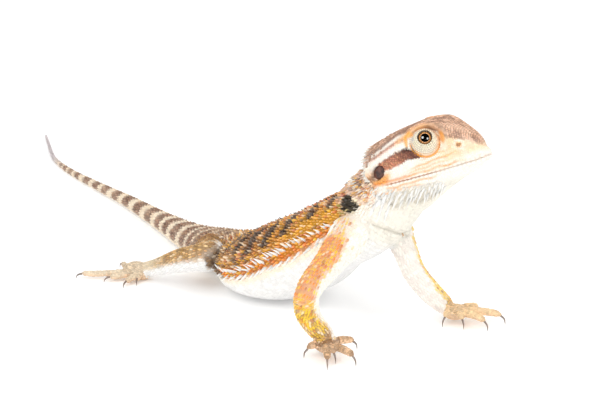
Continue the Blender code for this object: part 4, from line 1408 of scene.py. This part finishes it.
def paint_hollows(points, tone):
    """The skin's tones with those of the mouth line, nostrils, ear cups, lid creases and eye openings laid over, with
    painted shade in the nostrils, the ear cups and the front of the lid creases.
    """
    x, y, z = to_head(points).T
    line = ramp(np.abs(z - mouth_height(x)), 0.3, 0.12) * ramp(x, 1.0, 3.0) * ramp(x, 34, 33)
    tone = layered(tone, ("mouth_brown", line * (np.abs(y) < 13) * (0.85 - 0.55 * ramp(x, 13, 22))))
    for hand in (-1, 1):
        eye, gaze, front, over = eye_directions(hand)
        away = points - lid_ball(hand)
        rise = away @ gaze
        level = away - gaze * rise[:, None]
        aside = np.linalg.norm(level, axis=1)
        near = (np.linalg.norm(away, axis=1) < 7) & (rise > 0.0)
        ahead = (level @ front) / np.maximum(aside, 1e-6)
        higher = (level @ over) / np.maximum(aside, 1e-6)
        aside = aside / LID_BALL
        # The lid crease is laid orange, its own colour, and dark brown at its front, painted shade in the fold.
        dark = ramp(ahead, 0.55, 0.85) * ramp(higher, 0.75, 0.4) * ramp(higher, -0.75, -0.4)
        shade = mixed(coloured("lid_orange"), coloured("nostril_brown") * 0.6, dark)
        tone = mixed(tone, shade, hump(aside, 0.99, 0.07) * near * ramp(higher, 0.5, 0.0) * 0.95)
        opening = np.linalg.norm(points - eye - gaze * 3.1, axis=1)
        tone = layered(tone, ("rim_brown", ramp(opening, 2.42, 2.3)))
        tone = mixed(tone, paint_head(points) * 0.95, ramp(aside, 1.0, 1.04) * ramp(aside, 1.5, 1.4) * near)
        across, out = from_ear(points, hand)
        gap = from_nostril(points, hand)
        # The ear cup is laid dark maroon: the ear's own colour, and painted shade in the cup.
        tone = layered(
            tone,
            ("cup_maroon", ramp(across, 1.14, 1.0) * (np.abs(out) < 3.0)),
            ("nostril_brown", ramp(gap, 0.8, 0.6)),
        )
        # Painted shade: the nostril's pit darkened towards its middle.
        tone = mixed(tone, coloured("nostril_brown") * 0.3, ramp(gap, 0.5, 0.3))
    return tone


def with_variety(colours, settings, draw):
    """Each scale's colour a little lighter or darker than its marking, pale ones less so."""
    spread = settings.variety * (0.2 + 0.8 * ramp(lightness(colours), 0.75, 0.45))
    level = np.clip(1 + draw.normal(0, 1, len(colours)) * spread, 0.5, 1.6)
    return np.clip(colours * level[:, None], 0, 1)


class DRAGON_OT_scales(bpy.types.Operator):
    """Covers the skin with scales: keeled on back, tail and legs, flat on belly, toes and head"""

    bl_idname = "dragon.scales"
    bl_label = "Scales"

    def execute(self, context):
        settings = context.scene.dragon_scales
        draw = np.random.default_rng(settings.seed + 1)
        finish = skin_material("scale_skin", 0.5, 3500, 0.25, 0.08)
        names = ("back", "belly", "tail", "crown", "cheek", "arm", "leg", "toe")
        groups = {name + "_scales": [] for name in names}
        boxes = iter([(x / 7, y / 4, (x + 0.94) / 7, (y + 0.92) / 4) for y in range(4) for x in range(7)])
        for site in made["sites"]:
            box = (0.01, 0.01, 0.99, 0.99) if site["kind"] in ("body", "head") else next(boxes)
            site["uv"] = unwrap(site, box)
            site["plain"] = site["colour"]
            site["colour"] = mottled(site, draw)
            every = np.ones(len(site["spot"]), bool)
            if site["kind"] == "body":
                down = degrees_down(site["turn"])
                tail = site["place"] > 9.0
                edge = np.interp(site["place"], (1.6, 2.2, 3.0, 3.8, 5.2), (80, 76, 88, 95, 100))
                groups["back_scales"].append((site, (down < edge) & ~tail))
                groups["belly_scales"].append((site, (down >= edge) & ~tail))
                groups["tail_scales"].append((site, tail))
            elif site["kind"] == "head":
                clear = clear_of_features(site["spot"])
                cheek = to_head(site["spot"])[:, 2] < 5.5
                groups["crown_scales"].append((site, clear & ~cheek))
                groups["cheek_scales"].append((site, clear & cheek))
            elif site["kind"] == "toe":
                groups["toe_scales"].append((site, every))
            else:
                groups["arm_scales" if "front" in site["region"] else "leg_scales"].append((site, every))
        # Each row: the form, the painted shade at its foot and painted light at its top, its height, the spread of
        # its turning and of its sizes, how far its tip lightens, and its slot name.
        looks = {
            "back_scales": (keeled_form(), (0.3, 1.26), 2.3, 0.45, 0.34, 0.22, "back_skin"),
            "belly_scales": (plate_form(), (0.86, 1.02), 0.35, 0.03, 0.05, 0.0, "throat_skin"),
            "tail_scales": (keeled_form(0.12, 0.25), (0.66, 1.1), 0.8, 0.05, 0.1, 0.15, "tail_skin"),
            "crown_scales": (flat_form(7, 0.62), (0.5, 1.06), 0.8, 3.1, 0.22, 0.15, "head_skin"),
            "cheek_scales": (flat_form(7, 0.72), (0.72, 1.03), 0.5, 3.1, 0.18, 0.05, "head_skin"),
            "arm_scales": (keeled_form(), (0.62, 1.12), 1.0, 0.14, 0.16, 0.15, "leg_skin"),
            "leg_scales": (keeled_form(0.2), (0.5, 1.12), 0.95, 0.3, 0.2, 0.08, "leg_skin"),
            "toe_scales": (plate_form(0.75), (0.66, 1.06), 0.55, 0.03, 0.06, 0.1, "foot_skin"),
        }
        for name, parts in groups.items():
            form, shade, height, turning, spread, lighten, slot = looks[name]
            joined = {
                key: np.concatenate([site[key][chosen] for site, chosen in parts])
                for key in ("spot", "normal", "back", "spacing", "plain", "colour", "root", "uv")
            }
            count = len(joined["spot"])
            length, width = joined["spacing"].T
            big = 1 + spread * draw.normal(0, 0.8, count).clip(-1.2, 1.8)
            high = settings.height * height * np.sqrt(length * width) * big
            sizes = np.stack((length * settings.overlap * big, width * 1.08 * big, high), 1)
            sizes *= 1 + draw.uniform(-0.08, 0.08, (count, 3))
            yaw = draw.uniform(-turning, turning, count)[:, None]
            side = np.cross(joined["normal"], joined["back"])
            back = joined["back"] * np.cos(yaw) + side * np.sin(yaw)
            colours = with_variety(joined["colour"], settings, draw)
            dusk = ramp(lightness(joined["colour"]), 0.75, 0.5)
            tips = mixed(colours, coloured("back_cream"), lighten * dusk)
            brush = None
            if name in ("crown_scales", "cheek_scales"):
                brush, tips = paint_head, None
                colours = np.clip(colours / np.maximum(joined["plain"], 0.01), 0.84, 1.12)
            piece = lay(
                name, form, joined["spot"], joined["normal"], back, sizes, colours, joined["uv"], shade, tips,
                brush=brush, root=joined["root"] if name == "arm_scales" else None,
            )
            finish_piece(piece, finish, slot)
        return {"FINISHED"}


def clear_of_features(spots):
    """True where a head scale stands clear of the eye openings, ears, nostrils and mouth line."""
    x, _, z = to_head(spots).T
    clear = (np.abs(z - mouth_height(x)) >= 1.25) | (x <= 1.0)
    for hand in (-1, 1):
        gaze = eye_directions(hand)[1]
        away = spots - lid_ball(hand)
        rise = away @ gaze
        aside = np.linalg.norm(away - gaze * rise[:, None], axis=1)
        clear &= ~((aside < LID_BALL * 1.38) & (rise > -1.5) & (rise < 8))
        across, out = from_ear(spots, hand)
        clear &= ~((across < 1.12) & (np.abs(out) < 3))
        clear &= from_nostril(spots, hand) > 0.75
    return clear


class DRAGON_OT_lips(bpy.types.Operator):
    """Sets the rows of lip plates above and below the mouth"""

    bl_idname = "dragon.lips"
    bl_label = "Lips"

    def execute(self, context):
        draw = np.random.default_rng(21)
        spots, uvs = [], []
        for base in (0.0, 0.5):
            for above in (1, -1):
                for x in np.arange(2.0, 31.4, 1.25):
                    place = np.interp(x, HEAD[:, 0], np.arange(len(HEAD)))
                    turns = np.linspace(-0.09, 0.07, 60) if base == 0 else np.linspace(0.43, 0.59, 60)
                    local = head_local(np.full(60, place), turns % 1)
                    pick = np.argmin(np.abs(local[:, 2] - (mouth_height(x) + above * 0.62)))
                    spots.append(from_head(local[pick]))
                    uvs.append((0.02 + 0.9 * x / 33, 0.15 + 0.25 * (above > 0) + base))
        spots, normals, near = snapped(np.array(spots), 1.5)
        spots, normals, uvs = spots[near], normals[near], np.array(uvs)[near]
        back = np.tile(HEAD_TURN @ np.array((-1.0, 0.0, 0.0)), (len(spots), 1))
        count = len(spots)
        sizes = np.array((1.38, 1.05, 0.3)) * (1 + draw.uniform(-0.06, 0.06, (count, 3)))
        # Painted shade and light: each plate's foot darkened a little and its top lit a little.
        piece = lay(
            "lip_plates", flat_form(8, 0.78), spots, normals, back, sizes, np.ones((count, 3)), uvs, (0.8, 1.02),
            brush=paint_head,
        )
        finish_piece(piece, skin_material("lip_skin", 0.42, 3000, 0.2, 0.06), "head_skin")
        return {"FINISHED"}


class DRAGON_OT_lids(bpy.types.Operator):
    """Makes the rims of the eyelids and their rings of small scales"""

    bl_idname = "dragon.lids"
    bl_label = "Eyelids"

    def execute(self, context):
        draw = np.random.default_rng(31)
        level = math.sqrt(LID_RADIUS**2 - LID_OPENING**2)
        bm = bmesh.new()
        for hand in (-1, 1):
            eye, gaze, front, over = eye_directions(hand)
            one = bmesh.new()
            ring = bmesh.ops.create_circle(one, segments=12, radius=0.12)["verts"]
            upright = Matrix.Rotation(math.pi / 2, 4, "X")
            place = Matrix.Translation((LID_OPENING - 0.1, 0, level + 0.04)) @ upright
            bmesh.ops.transform(one, matrix=place, verts=ring)
            bmesh.ops.spin(
                one, geom=[*one.verts, *one.edges], cent=(0, 0, 0), axis=(0, 0, 1), angle=2 * math.pi, steps=64,
                use_merge=True,
            )
            bmesh.ops.transform(one, matrix=placement(eye, front, over, gaze), verts=one.verts)
            part = bpy.data.meshes.new("rim_part")
            one.to_mesh(part)
            one.free()
            bm.from_mesh(part)
            bpy.data.meshes.remove(part)
        rims = finish_shape(bm, "lid_rims")
        set_colours(rims.data, coloured("rim_brown"))
        finish = skin_material("lid_skin", 0.42, 4000, 0.2, 0.05)
        finish_piece(rims, finish, "head_skin")

        rows = []
        for hand in (-1, 1):
            eye, gaze, front, over = eye_directions(hand)
            ball = lid_ball(hand)
            centre = 0.25 + 0.5 * (hand > 0)
            out = unit(eye + gaze * level - ball)
            ahead = unit(front - out * (front @ out))
            above = np.cross(out, ahead) * -hand
            first = math.asin((LID_OPENING + 0.14) / LID_BALL)
            for ring_index, angle in enumerate(np.arange(first, 1.9, 0.135)):
                number = int(2 * math.pi * LID_BALL * math.sin(angle) / 0.62)
                for index in range(number):
                    turn = 2 * math.pi * (index + 0.5 * (ring_index % 2)) / number
                    around = ahead * math.cos(turn) + above * math.sin(turn)
                    normal = out * math.cos(angle) + around * math.sin(angle)
                    aside = np.linalg.norm(normal - gaze * (normal @ gaze))
                    if aside * (1 + 0.1 * float(ramp(normal @ over, 0.0, 0.8))) > 0.92 or normal @ gaze < 0:
                        continue
                    low = max(ramp(math.sin(turn), 0.2, -0.3), 0.3) * ramp(ring_index, 0.5, 2.5)
                    behind = ramp(math.cos(turn), -0.3, -0.8) * ramp(aside, 0.7, 0.85) * 0.5
                    rim = ramp(aside, 0.84, 0.92) * 0.8 * ramp(normal @ over, 0.3, -0.1)
                    tone = layered(between("lid_cream", "lid_grey", low), ("lid_orange", max(behind, rim)))
                    uv = (centre + math.cos(turn) * angle * 0.12, 0.5 + math.sin(turn) * angle * 0.24)
                    back = ahead * -math.sin(turn) + above * math.cos(turn)
                    rows.append((*(ball + normal * (LID_BALL - 0.12)), *normal, *back, *tone, *uv))
            for ring_index, reach in enumerate(np.arange(1.02, 1.4, 0.115)):
                number = int(2 * math.pi * LID_BALL * reach / 0.6)
                turns = 2 * math.pi * (np.arange(number) + 0.5 * (ring_index % 2)) / number
                flat = front * np.cos(turns)[:, None] + over * np.sin(turns)[:, None]
                spots, normals, near = snapped(ball + flat * LID_BALL * reach + gaze * 1.4, 2.6)
                along = over * np.cos(turns)[:, None] - front * np.sin(turns)[:, None]
                low = ramp(np.sin(turns), 0.4, -0.1) * (1.0 if reach < 1.1 else 0.0)
                tones = mixed(paint_head(spots) * 1.1, coloured("lid_orange"), low * 0.9)
                uvs = np.stack((centre + np.cos(turns) * reach * 0.16, 0.5 + np.sin(turns) * reach * 0.32), 1)
                rows += [tuple(row) for row in np.hstack((spots, normals, along, tones, uvs))[near]]
        rows = np.array(rows)
        sizes = np.tile((0.6, 0.52, 0.3), (len(rows), 1)) * (1 + draw.uniform(-0.08, 0.08, (len(rows), 1)))
        colours = with_variety(rows[:, 9:12], context.scene.dragon_scales, draw)
        # Painted shade and light: each lid scale's foot darkened and its top lit a little.
        piece = lay(
            "lid_scales", flat_form(8, 0.7), rows[:, :3], rows[:, 3:6], rows[:, 6:9], sizes, colours, rows[:, 12:],
            (0.66, 1.04), pale_foot=0.66,
        )
        finish_piece(piece, finish, "head_skin")
        return {"FINISHED"}


# Rows of spines on the body and on the head: the region, the places and turns that a row passes through, how many
# it has on a side, their length and girth, how far they point out, back and up, their colour, or None for that of
# the skin there, and the sides that carry it.
SPINE_ROWS = (
    (
        "body", ((2.35, 0.052), (3.4, 0.028), (4.2, 0.008), (5.3, -0.003), (6.7, 0.0)),
        34, 2.8, 0.95, 0.8, 0.9, 0.9, "beard_white", 2,
    ),
    (
        "body", ((2.7, 0.005), (3.7, -0.014), (4.6, -0.02), (5.5, -0.021), (6.7, -0.018)),
        31, 2.3, 0.9, 0.8, 0.9, -0.8, "beard_white", 2,
    ),
    (
        "body", ((2.4, 0.078), (3.6, 0.046), (4.8, 0.025), (6.7, 0.022)),
        26, 1.6, 0.8, 0.8, 0.8, 0.5, "back_yellow", 2,
    ),
    ("body", ((1.75, 0.25), (7.9, 0.25)), 42, 1.3, 0.8, 0.9, 0.6, 0.0, "back_rust", 1),
    ("body", ((1.8, 0.224), (7.8, 0.222)), 40, 1.5, 0.8, 0.9, 0.6, 0.0, "bar_charcoal", 2),
    ("body", ((2.0, 0.197), (7.6, 0.19)), 38, 1.3, 0.8, 0.9, 0.6, 0.0, None, 2),
    ("body", ((2.2, 0.167), (7.4, 0.16)), 35, 1.3, 0.8, 0.9, 0.6, 0.0, None, 2),
    ("body", ((2.3, 0.137), (7.2, 0.13)), 33, 1.2, 0.8, 0.9, 0.6, 0.0, None, 2),
    ("body", ((2.3, 0.107), (7.0, 0.095)), 31, 1.2, 0.8, 0.9, 0.7, 0.2, None, 2),
    ("body", ((7.6, 0.225), (10.4, 0.23)), 14, 0.9, 0.7, 0.9, 0.8, 0.0, None, 2),
    ("body", ((7.8, 0.18), (10.4, 0.18)), 12, 0.9, 0.7, 0.9, 0.8, 0.0, None, 2),
    ("body", ((0.65, 0.09), (0.65, 0.25), (0.65, 0.41)), 17, 1.8, 0.8, 0.8, 1.1, 0.1, "nape_pink", 1),
    ("body", ((0.95, 0.08), (1.0, 0.25), (0.95, 0.42)), 19, 2.0, 0.85, 0.8, 1.1, 0.1, "cheek_white", 1),
    ("body", ((1.25, 0.15), (1.3, 0.25), (1.25, 0.35)), 13, 1.7, 0.8, 0.8, 1.1, 0.1, "nape_pink", 1),
    ("body", ((1.5, 0.18), (1.6, 0.25), (1.5, 0.32)), 9, 1.4, 0.8, 0.8, 1.1, 0.1, "back_red", 1),
    ("body", ((0.45, 0.06), (0.8, 0.055), (1.2, 0.045)), 10, 1.9, 0.85, 0.7, 1.1, 0.0, "cheek_white", 2),
    ("body", ((0.5, 0.035), (0.85, 0.025), (1.25, 0.018)), 9, 2.1, 0.9, 0.7, 1.0, -0.4, "beard_white", 2),
    ("body", ((0.5, 0.01), (0.85, 0.0), (1.2, -0.008)), 9, 2.2, 0.95, 0.65, 0.8, -0.7, "beard_white", 2),
    ("body", ((0.75, -0.018), (0.95, -0.024), (1.15, -0.03)), 5, 2.0, 0.95, 0.6, 0.7, -0.8, "beard_white", 2),
    ("body", ((1.34, 0.158), (1.46, 0.115), (1.4, 0.08)), 10, 2.7, 1.0, 0.7, 1.0, 0.55, "spot_black", 2),
    ("body", ((1.5, 0.158), (1.62, 0.113), (1.54, 0.078)), 9, 2.3, 1.0, 0.7, 1.0, 0.5, "spot_black", 2),
    ("body", ((1.66, 0.145), (1.76, 0.11), (1.7, 0.085)), 6, 1.8, 0.9, 0.7, 1.0, 0.4, "spot_black", 2),
    ("body", ((1.86, 0.14), (1.94, 0.11), (1.88, 0.07)), 6, 1.5, 0.8, 0.7, 1.0, 0.4, "spot_yellow", 2),
    ("body", ((10.4, 0.03), (13.8, 0.03)), 24, 1.1, 0.7, 0.9, 0.9, 0.2, None, 2),
    ("body", ((10.4, 0.17), (13.8, 0.17)), 22, 0.9, 0.7, 0.9, 0.8, 0.0, None, 2),
    ("head", ((0.4, 0.05), (0.35, 0.25), (0.4, 0.45)), 19, 2.0, 0.85, 0.8, 1.0, 0.0, "cheek_white", 1),
    ("head", ((0.85, 0.08), (0.8, 0.25), (0.85, 0.42)), 17, 1.6, 0.85, 0.8, 1.0, 0.0, "head_pink", 1),
    ("head", ((1.3, 0.1), (1.25, 0.25), (1.3, 0.4)), 15, 1.3, 0.8, 0.8, 1.0, 0.0, "head_tan", 1),
    ("head", ((1.9, 0.11), (1.8, 0.25), (1.9, 0.39)), 13, 1.0, 0.8, 0.8, 1.0, 0.0, "head_tan", 1),
    ("head", ((2.6, 0.11), (2.5, 0.25), (2.6, 0.39)), 12, 0.8, 0.8, 0.8, 1.0, 0.0, "head_tan", 1),
    ("head", ((0.4, 0.03), (0.6, -0.01), (0.9, -0.04)), 6, 1.6, 0.85, 0.8, 1.0, 0.0, "cheek_white", 2),
    (
        "head", ((0.7, -0.07), (3.0, -0.1), (4.6, -0.12), (6.0, -0.135)),
        17, 1.3, 0.8, 0.6, 0.7, -0.7, "cheek_white", 2,
    ),
    (
        "head", ((0.8, -0.088), (3.0, -0.12), (4.6, -0.14), (6.1, -0.154)),
        16, 2.2, 0.95, 0.5, 0.55, -1.0, "beard_white", 2,
    ),
    (
        "head", ((1.0, -0.105), (3.0, -0.14), (4.6, -0.16), (6.2, -0.174)),
        16, 2.7, 1.0, 0.45, 0.55, -1.0, "beard_white", 2,
    ),
    (
        "head", ((1.4, -0.128), (3.1, -0.16), (4.6, -0.18), (6.1, -0.192)),
        15, 3.0, 1.0, 0.45, 0.55, -1.0, "beard_white", 2,
    ),
    (
        "head", ((2.2, -0.16), (3.6, -0.18), (4.7, -0.196), (5.8, -0.206)),
        11, 2.4, 0.9, 0.45, 0.55, -0.9, "throat_cream", 2,
    ),
)


class DRAGON_OT_spines(bpy.types.Operator):
    """Sets the spines of the beard, nape, shoulders, back, flanks and tail on the skin"""

    bl_idname = "dragon.spines"
    bl_label = "Spines"

    def execute(self, context):
        settings = context.scene.dragon_spines
        draw = np.random.default_rng(41)
        surfaces = {name: (surface, last) for name, surface, last in regions()[:2]}
        found = {key: [] for key in ("spot", "point", "back", "size", "tone", "uv")}
        for region, path, count, length, girth, out, lean, rise, tone, sides in SPINE_ROWS:
            surface, last = surfaces[region]
            for mirrored in (False, True)[:sides]:
                share = np.clip((np.arange(count) + draw.uniform(-0.3, 0.3, count)) / (count - 1), 0, 1)
                rows = spline(np.array(path), share * (len(path) - 1))
                place = rows[:, 0]
                turn = rows[:, 1] + draw.normal(0, 0.003, count)
                turn = (0.5 - turn if mirrored else turn) % 1
                spots, normals, near = snapped(surface(place, turn), 1.2)
                back = along_surface(surface, place, turn, last) * (-1 if region == "head" else 1)
                point = unit(
                    normals * out
                    + back * (lean * draw.uniform(0.8, 1.2, count))[:, None]
                    + UP * (rise * draw.uniform(0.8, 1.2, count))[:, None]
                    + draw.normal(0, 0.07, (count, 3))
                )
                tall = length * settings.length * (0.75 + 0.25 * np.sin(np.pi * share))
                tall *= draw.uniform(0.75, 1.18, count)
                wide = girth * settings.girth * draw.uniform(0.85, 1.12, count)
                tones = coloured(tone) if tone else paint(region, place, turn, spots, normals)
                tones = tones * draw.uniform(0.85, 1.08, count)[:, None]
                low = 0.02 if region == "body" else 0.55
                found["spot"].append(spots[near])
                found["point"].append(point[near])
                found["back"].append((back + UP * -rise * 0.3)[near])
                found["size"].append(np.stack((wide, wide, tall), 1)[near])
                found["tone"].append(tones[near])
                uv = np.stack((0.02 + 0.96 * ((turn + 0.5) % 1), low + 0.42 * place / last), 1)
                found["uv"].append(uv[near])
        spots, points, back, sizes, tones, uvs = (
            np.concatenate(found[key]) for key in ("spot", "point", "back", "size", "tone", "uv")
        )
        tips = layered(tones, ("beard_white", 0.3))
        dark = (tones.max(1) < 0.08)[:, None]
        tips = np.where(dark, tones, tips)
        # Painted shade and light: each spine's foot darkened, pale ones less, and its top lit.
        piece = lay(
            "spines", spine_form(settings.curl), spots, points, back, sizes, tones, uvs, (0.42, 1.12), tips,
            smooth=True, pale_foot=0.76,
        )
        finish_piece(piece, skin_material("spine_horn", 0.42, 3000, 0.15, 0.05), "back_skin")
        return {"FINISHED"}


class DRAGON_OT_eyes(bpy.types.Operator):
    """Makes the two eyeballs, each with a slight bulge over its iris"""

    bl_idname = "dragon.eyes"
    bl_label = "Eyes"

    def execute(self, context):
        settings = context.scene.dragon_eyes
        finish = eye_material(settings)
        for name, hand in (("right", -1), ("left", 1)):
            eye, gaze, front, over = eye_directions(hand)
            bm = bmesh.new()
            bmesh.ops.create_uvsphere(bm, u_segments=48, v_segments=48, radius=settings.radius)
            for vert in bm.verts:
                angle = math.degrees(vert.co.angle(Vector((0, 0, 1))))
                vert.co *= 1 + 0.035 * float(ramp(angle, 45, 15))
            bmesh.ops.transform(bm, matrix=placement(eye, front, over, gaze), verts=bm.verts)
            piece = finish_shape(bm, "eyeball_" + name)
            away = unit(read_points(piece.data) - to_row(eye))
            angles = np.degrees(np.arccos(np.clip(away @ gaze, -1, 1)))
            attribute = piece.data.attributes.new("gaze_angle", "FLOAT", "POINT")
            attribute.data.foreach_set("value", np.clip(angles / 90, 0, 1).astype(np.float32))
            finish_piece(piece, finish, "eye", ["eye_" + name])
        return {"FINISHED"}


class DRAGON_OT_ears(bpy.types.Operator):
    """Makes the two ear drums, each a flat membrane at the bottom of its cup"""

    bl_idname = "dragon.ears"
    bl_label = "Ear drums"

    def execute(self, context):
        stops = ((0.35, (0.03, 0.01, 0.008)), (0.75, (0.2, 0.075, 0.05)))
        finish = banded_material("drum_membrane", 0.28, 700, stops)
        for name, hand in (("right", -1), ("left", 1)):
            ear, outward, long, short = ear_directions(hand)
            bm = bmesh.new()
            bmesh.ops.create_uvsphere(bm, u_segments=32, v_segments=16, radius=1)
            sizes = Matrix.Diagonal((EAR_SIZE[0] * 1.02, EAR_SIZE[1] * 1.02, 0.3, 1))
            place = placement(ear - outward * 1.12, long, short, outward)
            bmesh.ops.transform(bm, matrix=place @ sizes, verts=bm.verts)
            finish_piece(finish_shape(bm, "drum_" + name), finish, "ear_drum", ["ear_drum_" + name])
        return {"FINISHED"}


class DRAGON_OT_claws(bpy.types.Operator):
    """Makes five hooked claws for each foot"""

    bl_idname = "dragon.claws"
    bl_label = "Claws"

    def execute(self, context):
        stops = ((0.0, (0.09, 0.065, 0.06)), (1.0, (0.34, 0.25, 0.2)))
        finish = banded_material("claw_horn", 0.3, 900, stops)
        part = {"front": "hand", "hind": "foot"}
        for leg_name, leg in LEGS.items():
            kind = leg["kind"]
            bm = bmesh.new()
            for tip in leg["claws"]:
                toe = toe_points(leg, tip)
                tip = np.array((*tip, 0.0))
                away = unit(np.array((tip[0] - toe[0][0], tip[1] - toe[0][1], 0.0)))
                root = toe[-1] + unit(tip - toe[-2]) * TOE_GIRTHS[kind][-1] * 0.6
                hook = root + (tip - root) * 0.5 + (away + UP) * 0.4
                rows = np.array([(*root, 0.34), (*hook, 0.24), (*(tip + UP * 0.1), 0.05)])
                rings = domed(tube_surface(rows), 2, 12, 12, caps=(False, True))
                for ring in rings:
                    ring[:, 2] = np.maximum(ring[:, 2], 0.0)
                add_loft(bm, rings)
            side = leg_name.split("_")[0]
            nodes_of_claws = [f"{side}_{part[kind]}_claw_{index}" for index in range(1, 6)]
            finish_piece(finish_shape(bm, leg_name + "_claws"), finish, "claw", nodes_of_claws)
        return {"FINISHED"}


# The lamps: name, direction from the lit point, size in metres, power in watts, and whether only mirror-like
# surfaces show it.
LAMPS = (
    ("left_light", (0.24, -0.66, 0.71), 0.4, 1.7, False),
    ("right_light", (0.77, 0.16, 0.62), 0.4, 1.2, False),
    ("top_light", (-0.2, 0.1, 1.0), 1.4, 2.4, False),
    ("left_glint", (0.24, -0.66, 0.71), 0.26, 7.0, True),
    ("right_glint", (0.83, -0.12, 0.54), 0.22, 5.0, True),
)
LAMP_DISTANCE = 0.9
GLINT_DISTANCE = 0.75
LIT_POINT = (5.0, 0.0, 25.0)
FLOOR_GLOW = 0.17
CAMERA_PLACE = (548.96, -526.44, 263.13)
CAMERA_TARGET = (-70.16, 71.44, 0.0)


class DRAGON_OT_stage(bpy.types.Operator):
    """Makes the pale floor, the soft lights and the camera at the photograph's angle"""

    bl_idname = "dragon.stage"
    bl_label = "Stage"

    def execute(self, context):
        settings = context.scene.dragon_stage
        bm = bmesh.new()
        bmesh.ops.create_grid(bm, x_segments=1, y_segments=1, size=6)
        mesh = bpy.data.meshes.new("floor")
        bm.to_mesh(mesh)
        bm.free()
        floor = new_object("floor", mesh)
        paint_floor, _, _, shader = new_material("pale_floor", 0.6)
        shader.inputs["Base Color"].default_value = (*settings.floor, 1)
        shader.inputs["Emission Color"].default_value = (1, 1, 1, 1)
        shader.inputs["Emission Strength"].default_value = FLOOR_GLOW
        floor.data.materials.append(paint_floor)
        world = bpy.data.worlds.new("pale_room")
        world.use_nodes = True
        back = world.node_tree.nodes["Background"]
        back.inputs["Color"].default_value = (1.0, 1.0, 1.0, 1)
        back.inputs["Strength"].default_value = settings.room
        world.cycles_visibility.glossy = False
        context.scene.world = world
        context.scene.view_settings.view_transform = "Standard"
        focus = Vector(to_row(LIT_POINT))
        for name, direction, size, power, mirrored in LAMPS:
            lamp = bpy.data.lights.new(name, "AREA")
            lamp.shape = "SQUARE"
            lamp.size = size
            lamp.energy = power
            holder = bpy.data.objects.new(name, lamp)
            context.scene.collection.objects.link(holder)
            away = Vector(direction).normalized()
            holder.location = focus + away * (GLINT_DISTANCE if mirrored else LAMP_DISTANCE)
            holder.rotation_euler = away.to_track_quat("Z", "Y").to_euler()
            holder.visible_glossy = mirrored
            holder.visible_diffuse = not mirrored
        lens = bpy.data.cameras.new("camera")
        lens.lens = settings.lens
        lens.sensor_width = 36
        lens.clip_start = 0.01
        lens.clip_end = 20
        camera = bpy.data.objects.new("camera", lens)
        context.scene.collection.objects.link(camera)
        camera.location = Vector(to_row(CAMERA_PLACE))
        target = Vector(to_row(CAMERA_TARGET))
        camera.rotation_euler = (camera.location - target).to_track_quat("Z", "Y").to_euler()
        context.scene.camera = camera
        return {"FINISHED"}


class DRAGON_PT_panel(bpy.types.Panel):
    """Lists the settings and pieces of the model"""

    bl_label = "Bearded dragon"
    bl_idname = "DRAGON_PT_panel"
    bl_space_type = "VIEW_3D"
    bl_region_type = "UI"
    bl_category = "Dragon"

    def draw(self, context):
        for group in SETTINGS:
            settings = getattr(context.scene, group)
            for name in settings.__annotations__:
                self.layout.prop(settings, name)
        for operator in OPERATORS:
            self.layout.operator(operator.bl_idname)


SETTINGS = {
    "dragon_skin": SkinSettings,
    "dragon_scales": ScaleSettings,
    "dragon_spines": SpineSettings,
    "dragon_eyes": EyeSettings,
    "dragon_stage": StageSettings,
}
OPERATORS = (
    DRAGON_OT_skin,
    DRAGON_OT_scales,
    DRAGON_OT_lips,
    DRAGON_OT_lids,
    DRAGON_OT_spines,
    DRAGON_OT_eyes,
    DRAGON_OT_ears,
    DRAGON_OT_claws,
    DRAGON_OT_stage,
)


def register():
    for kind in (*SETTINGS.values(), *OPERATORS, DRAGON_PT_panel):
        bpy.utils.register_class(kind)
    for name, kind in SETTINGS.items():
        setattr(bpy.types.Scene, name, PointerProperty(type=kind))


def unregister():
    for name in SETTINGS:
        delattr(bpy.types.Scene, name)
    for kind in reversed((*SETTINGS.values(), *OPERATORS, DRAGON_PT_panel)):
        bpy.utils.unregister_class(kind)


def main():
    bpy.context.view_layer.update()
    register()
    for operator in OPERATORS:
        group, name = operator.bl_idname.split(".")
        getattr(getattr(bpy.ops, group), name)()


if __name__ == "__main__":
    main()
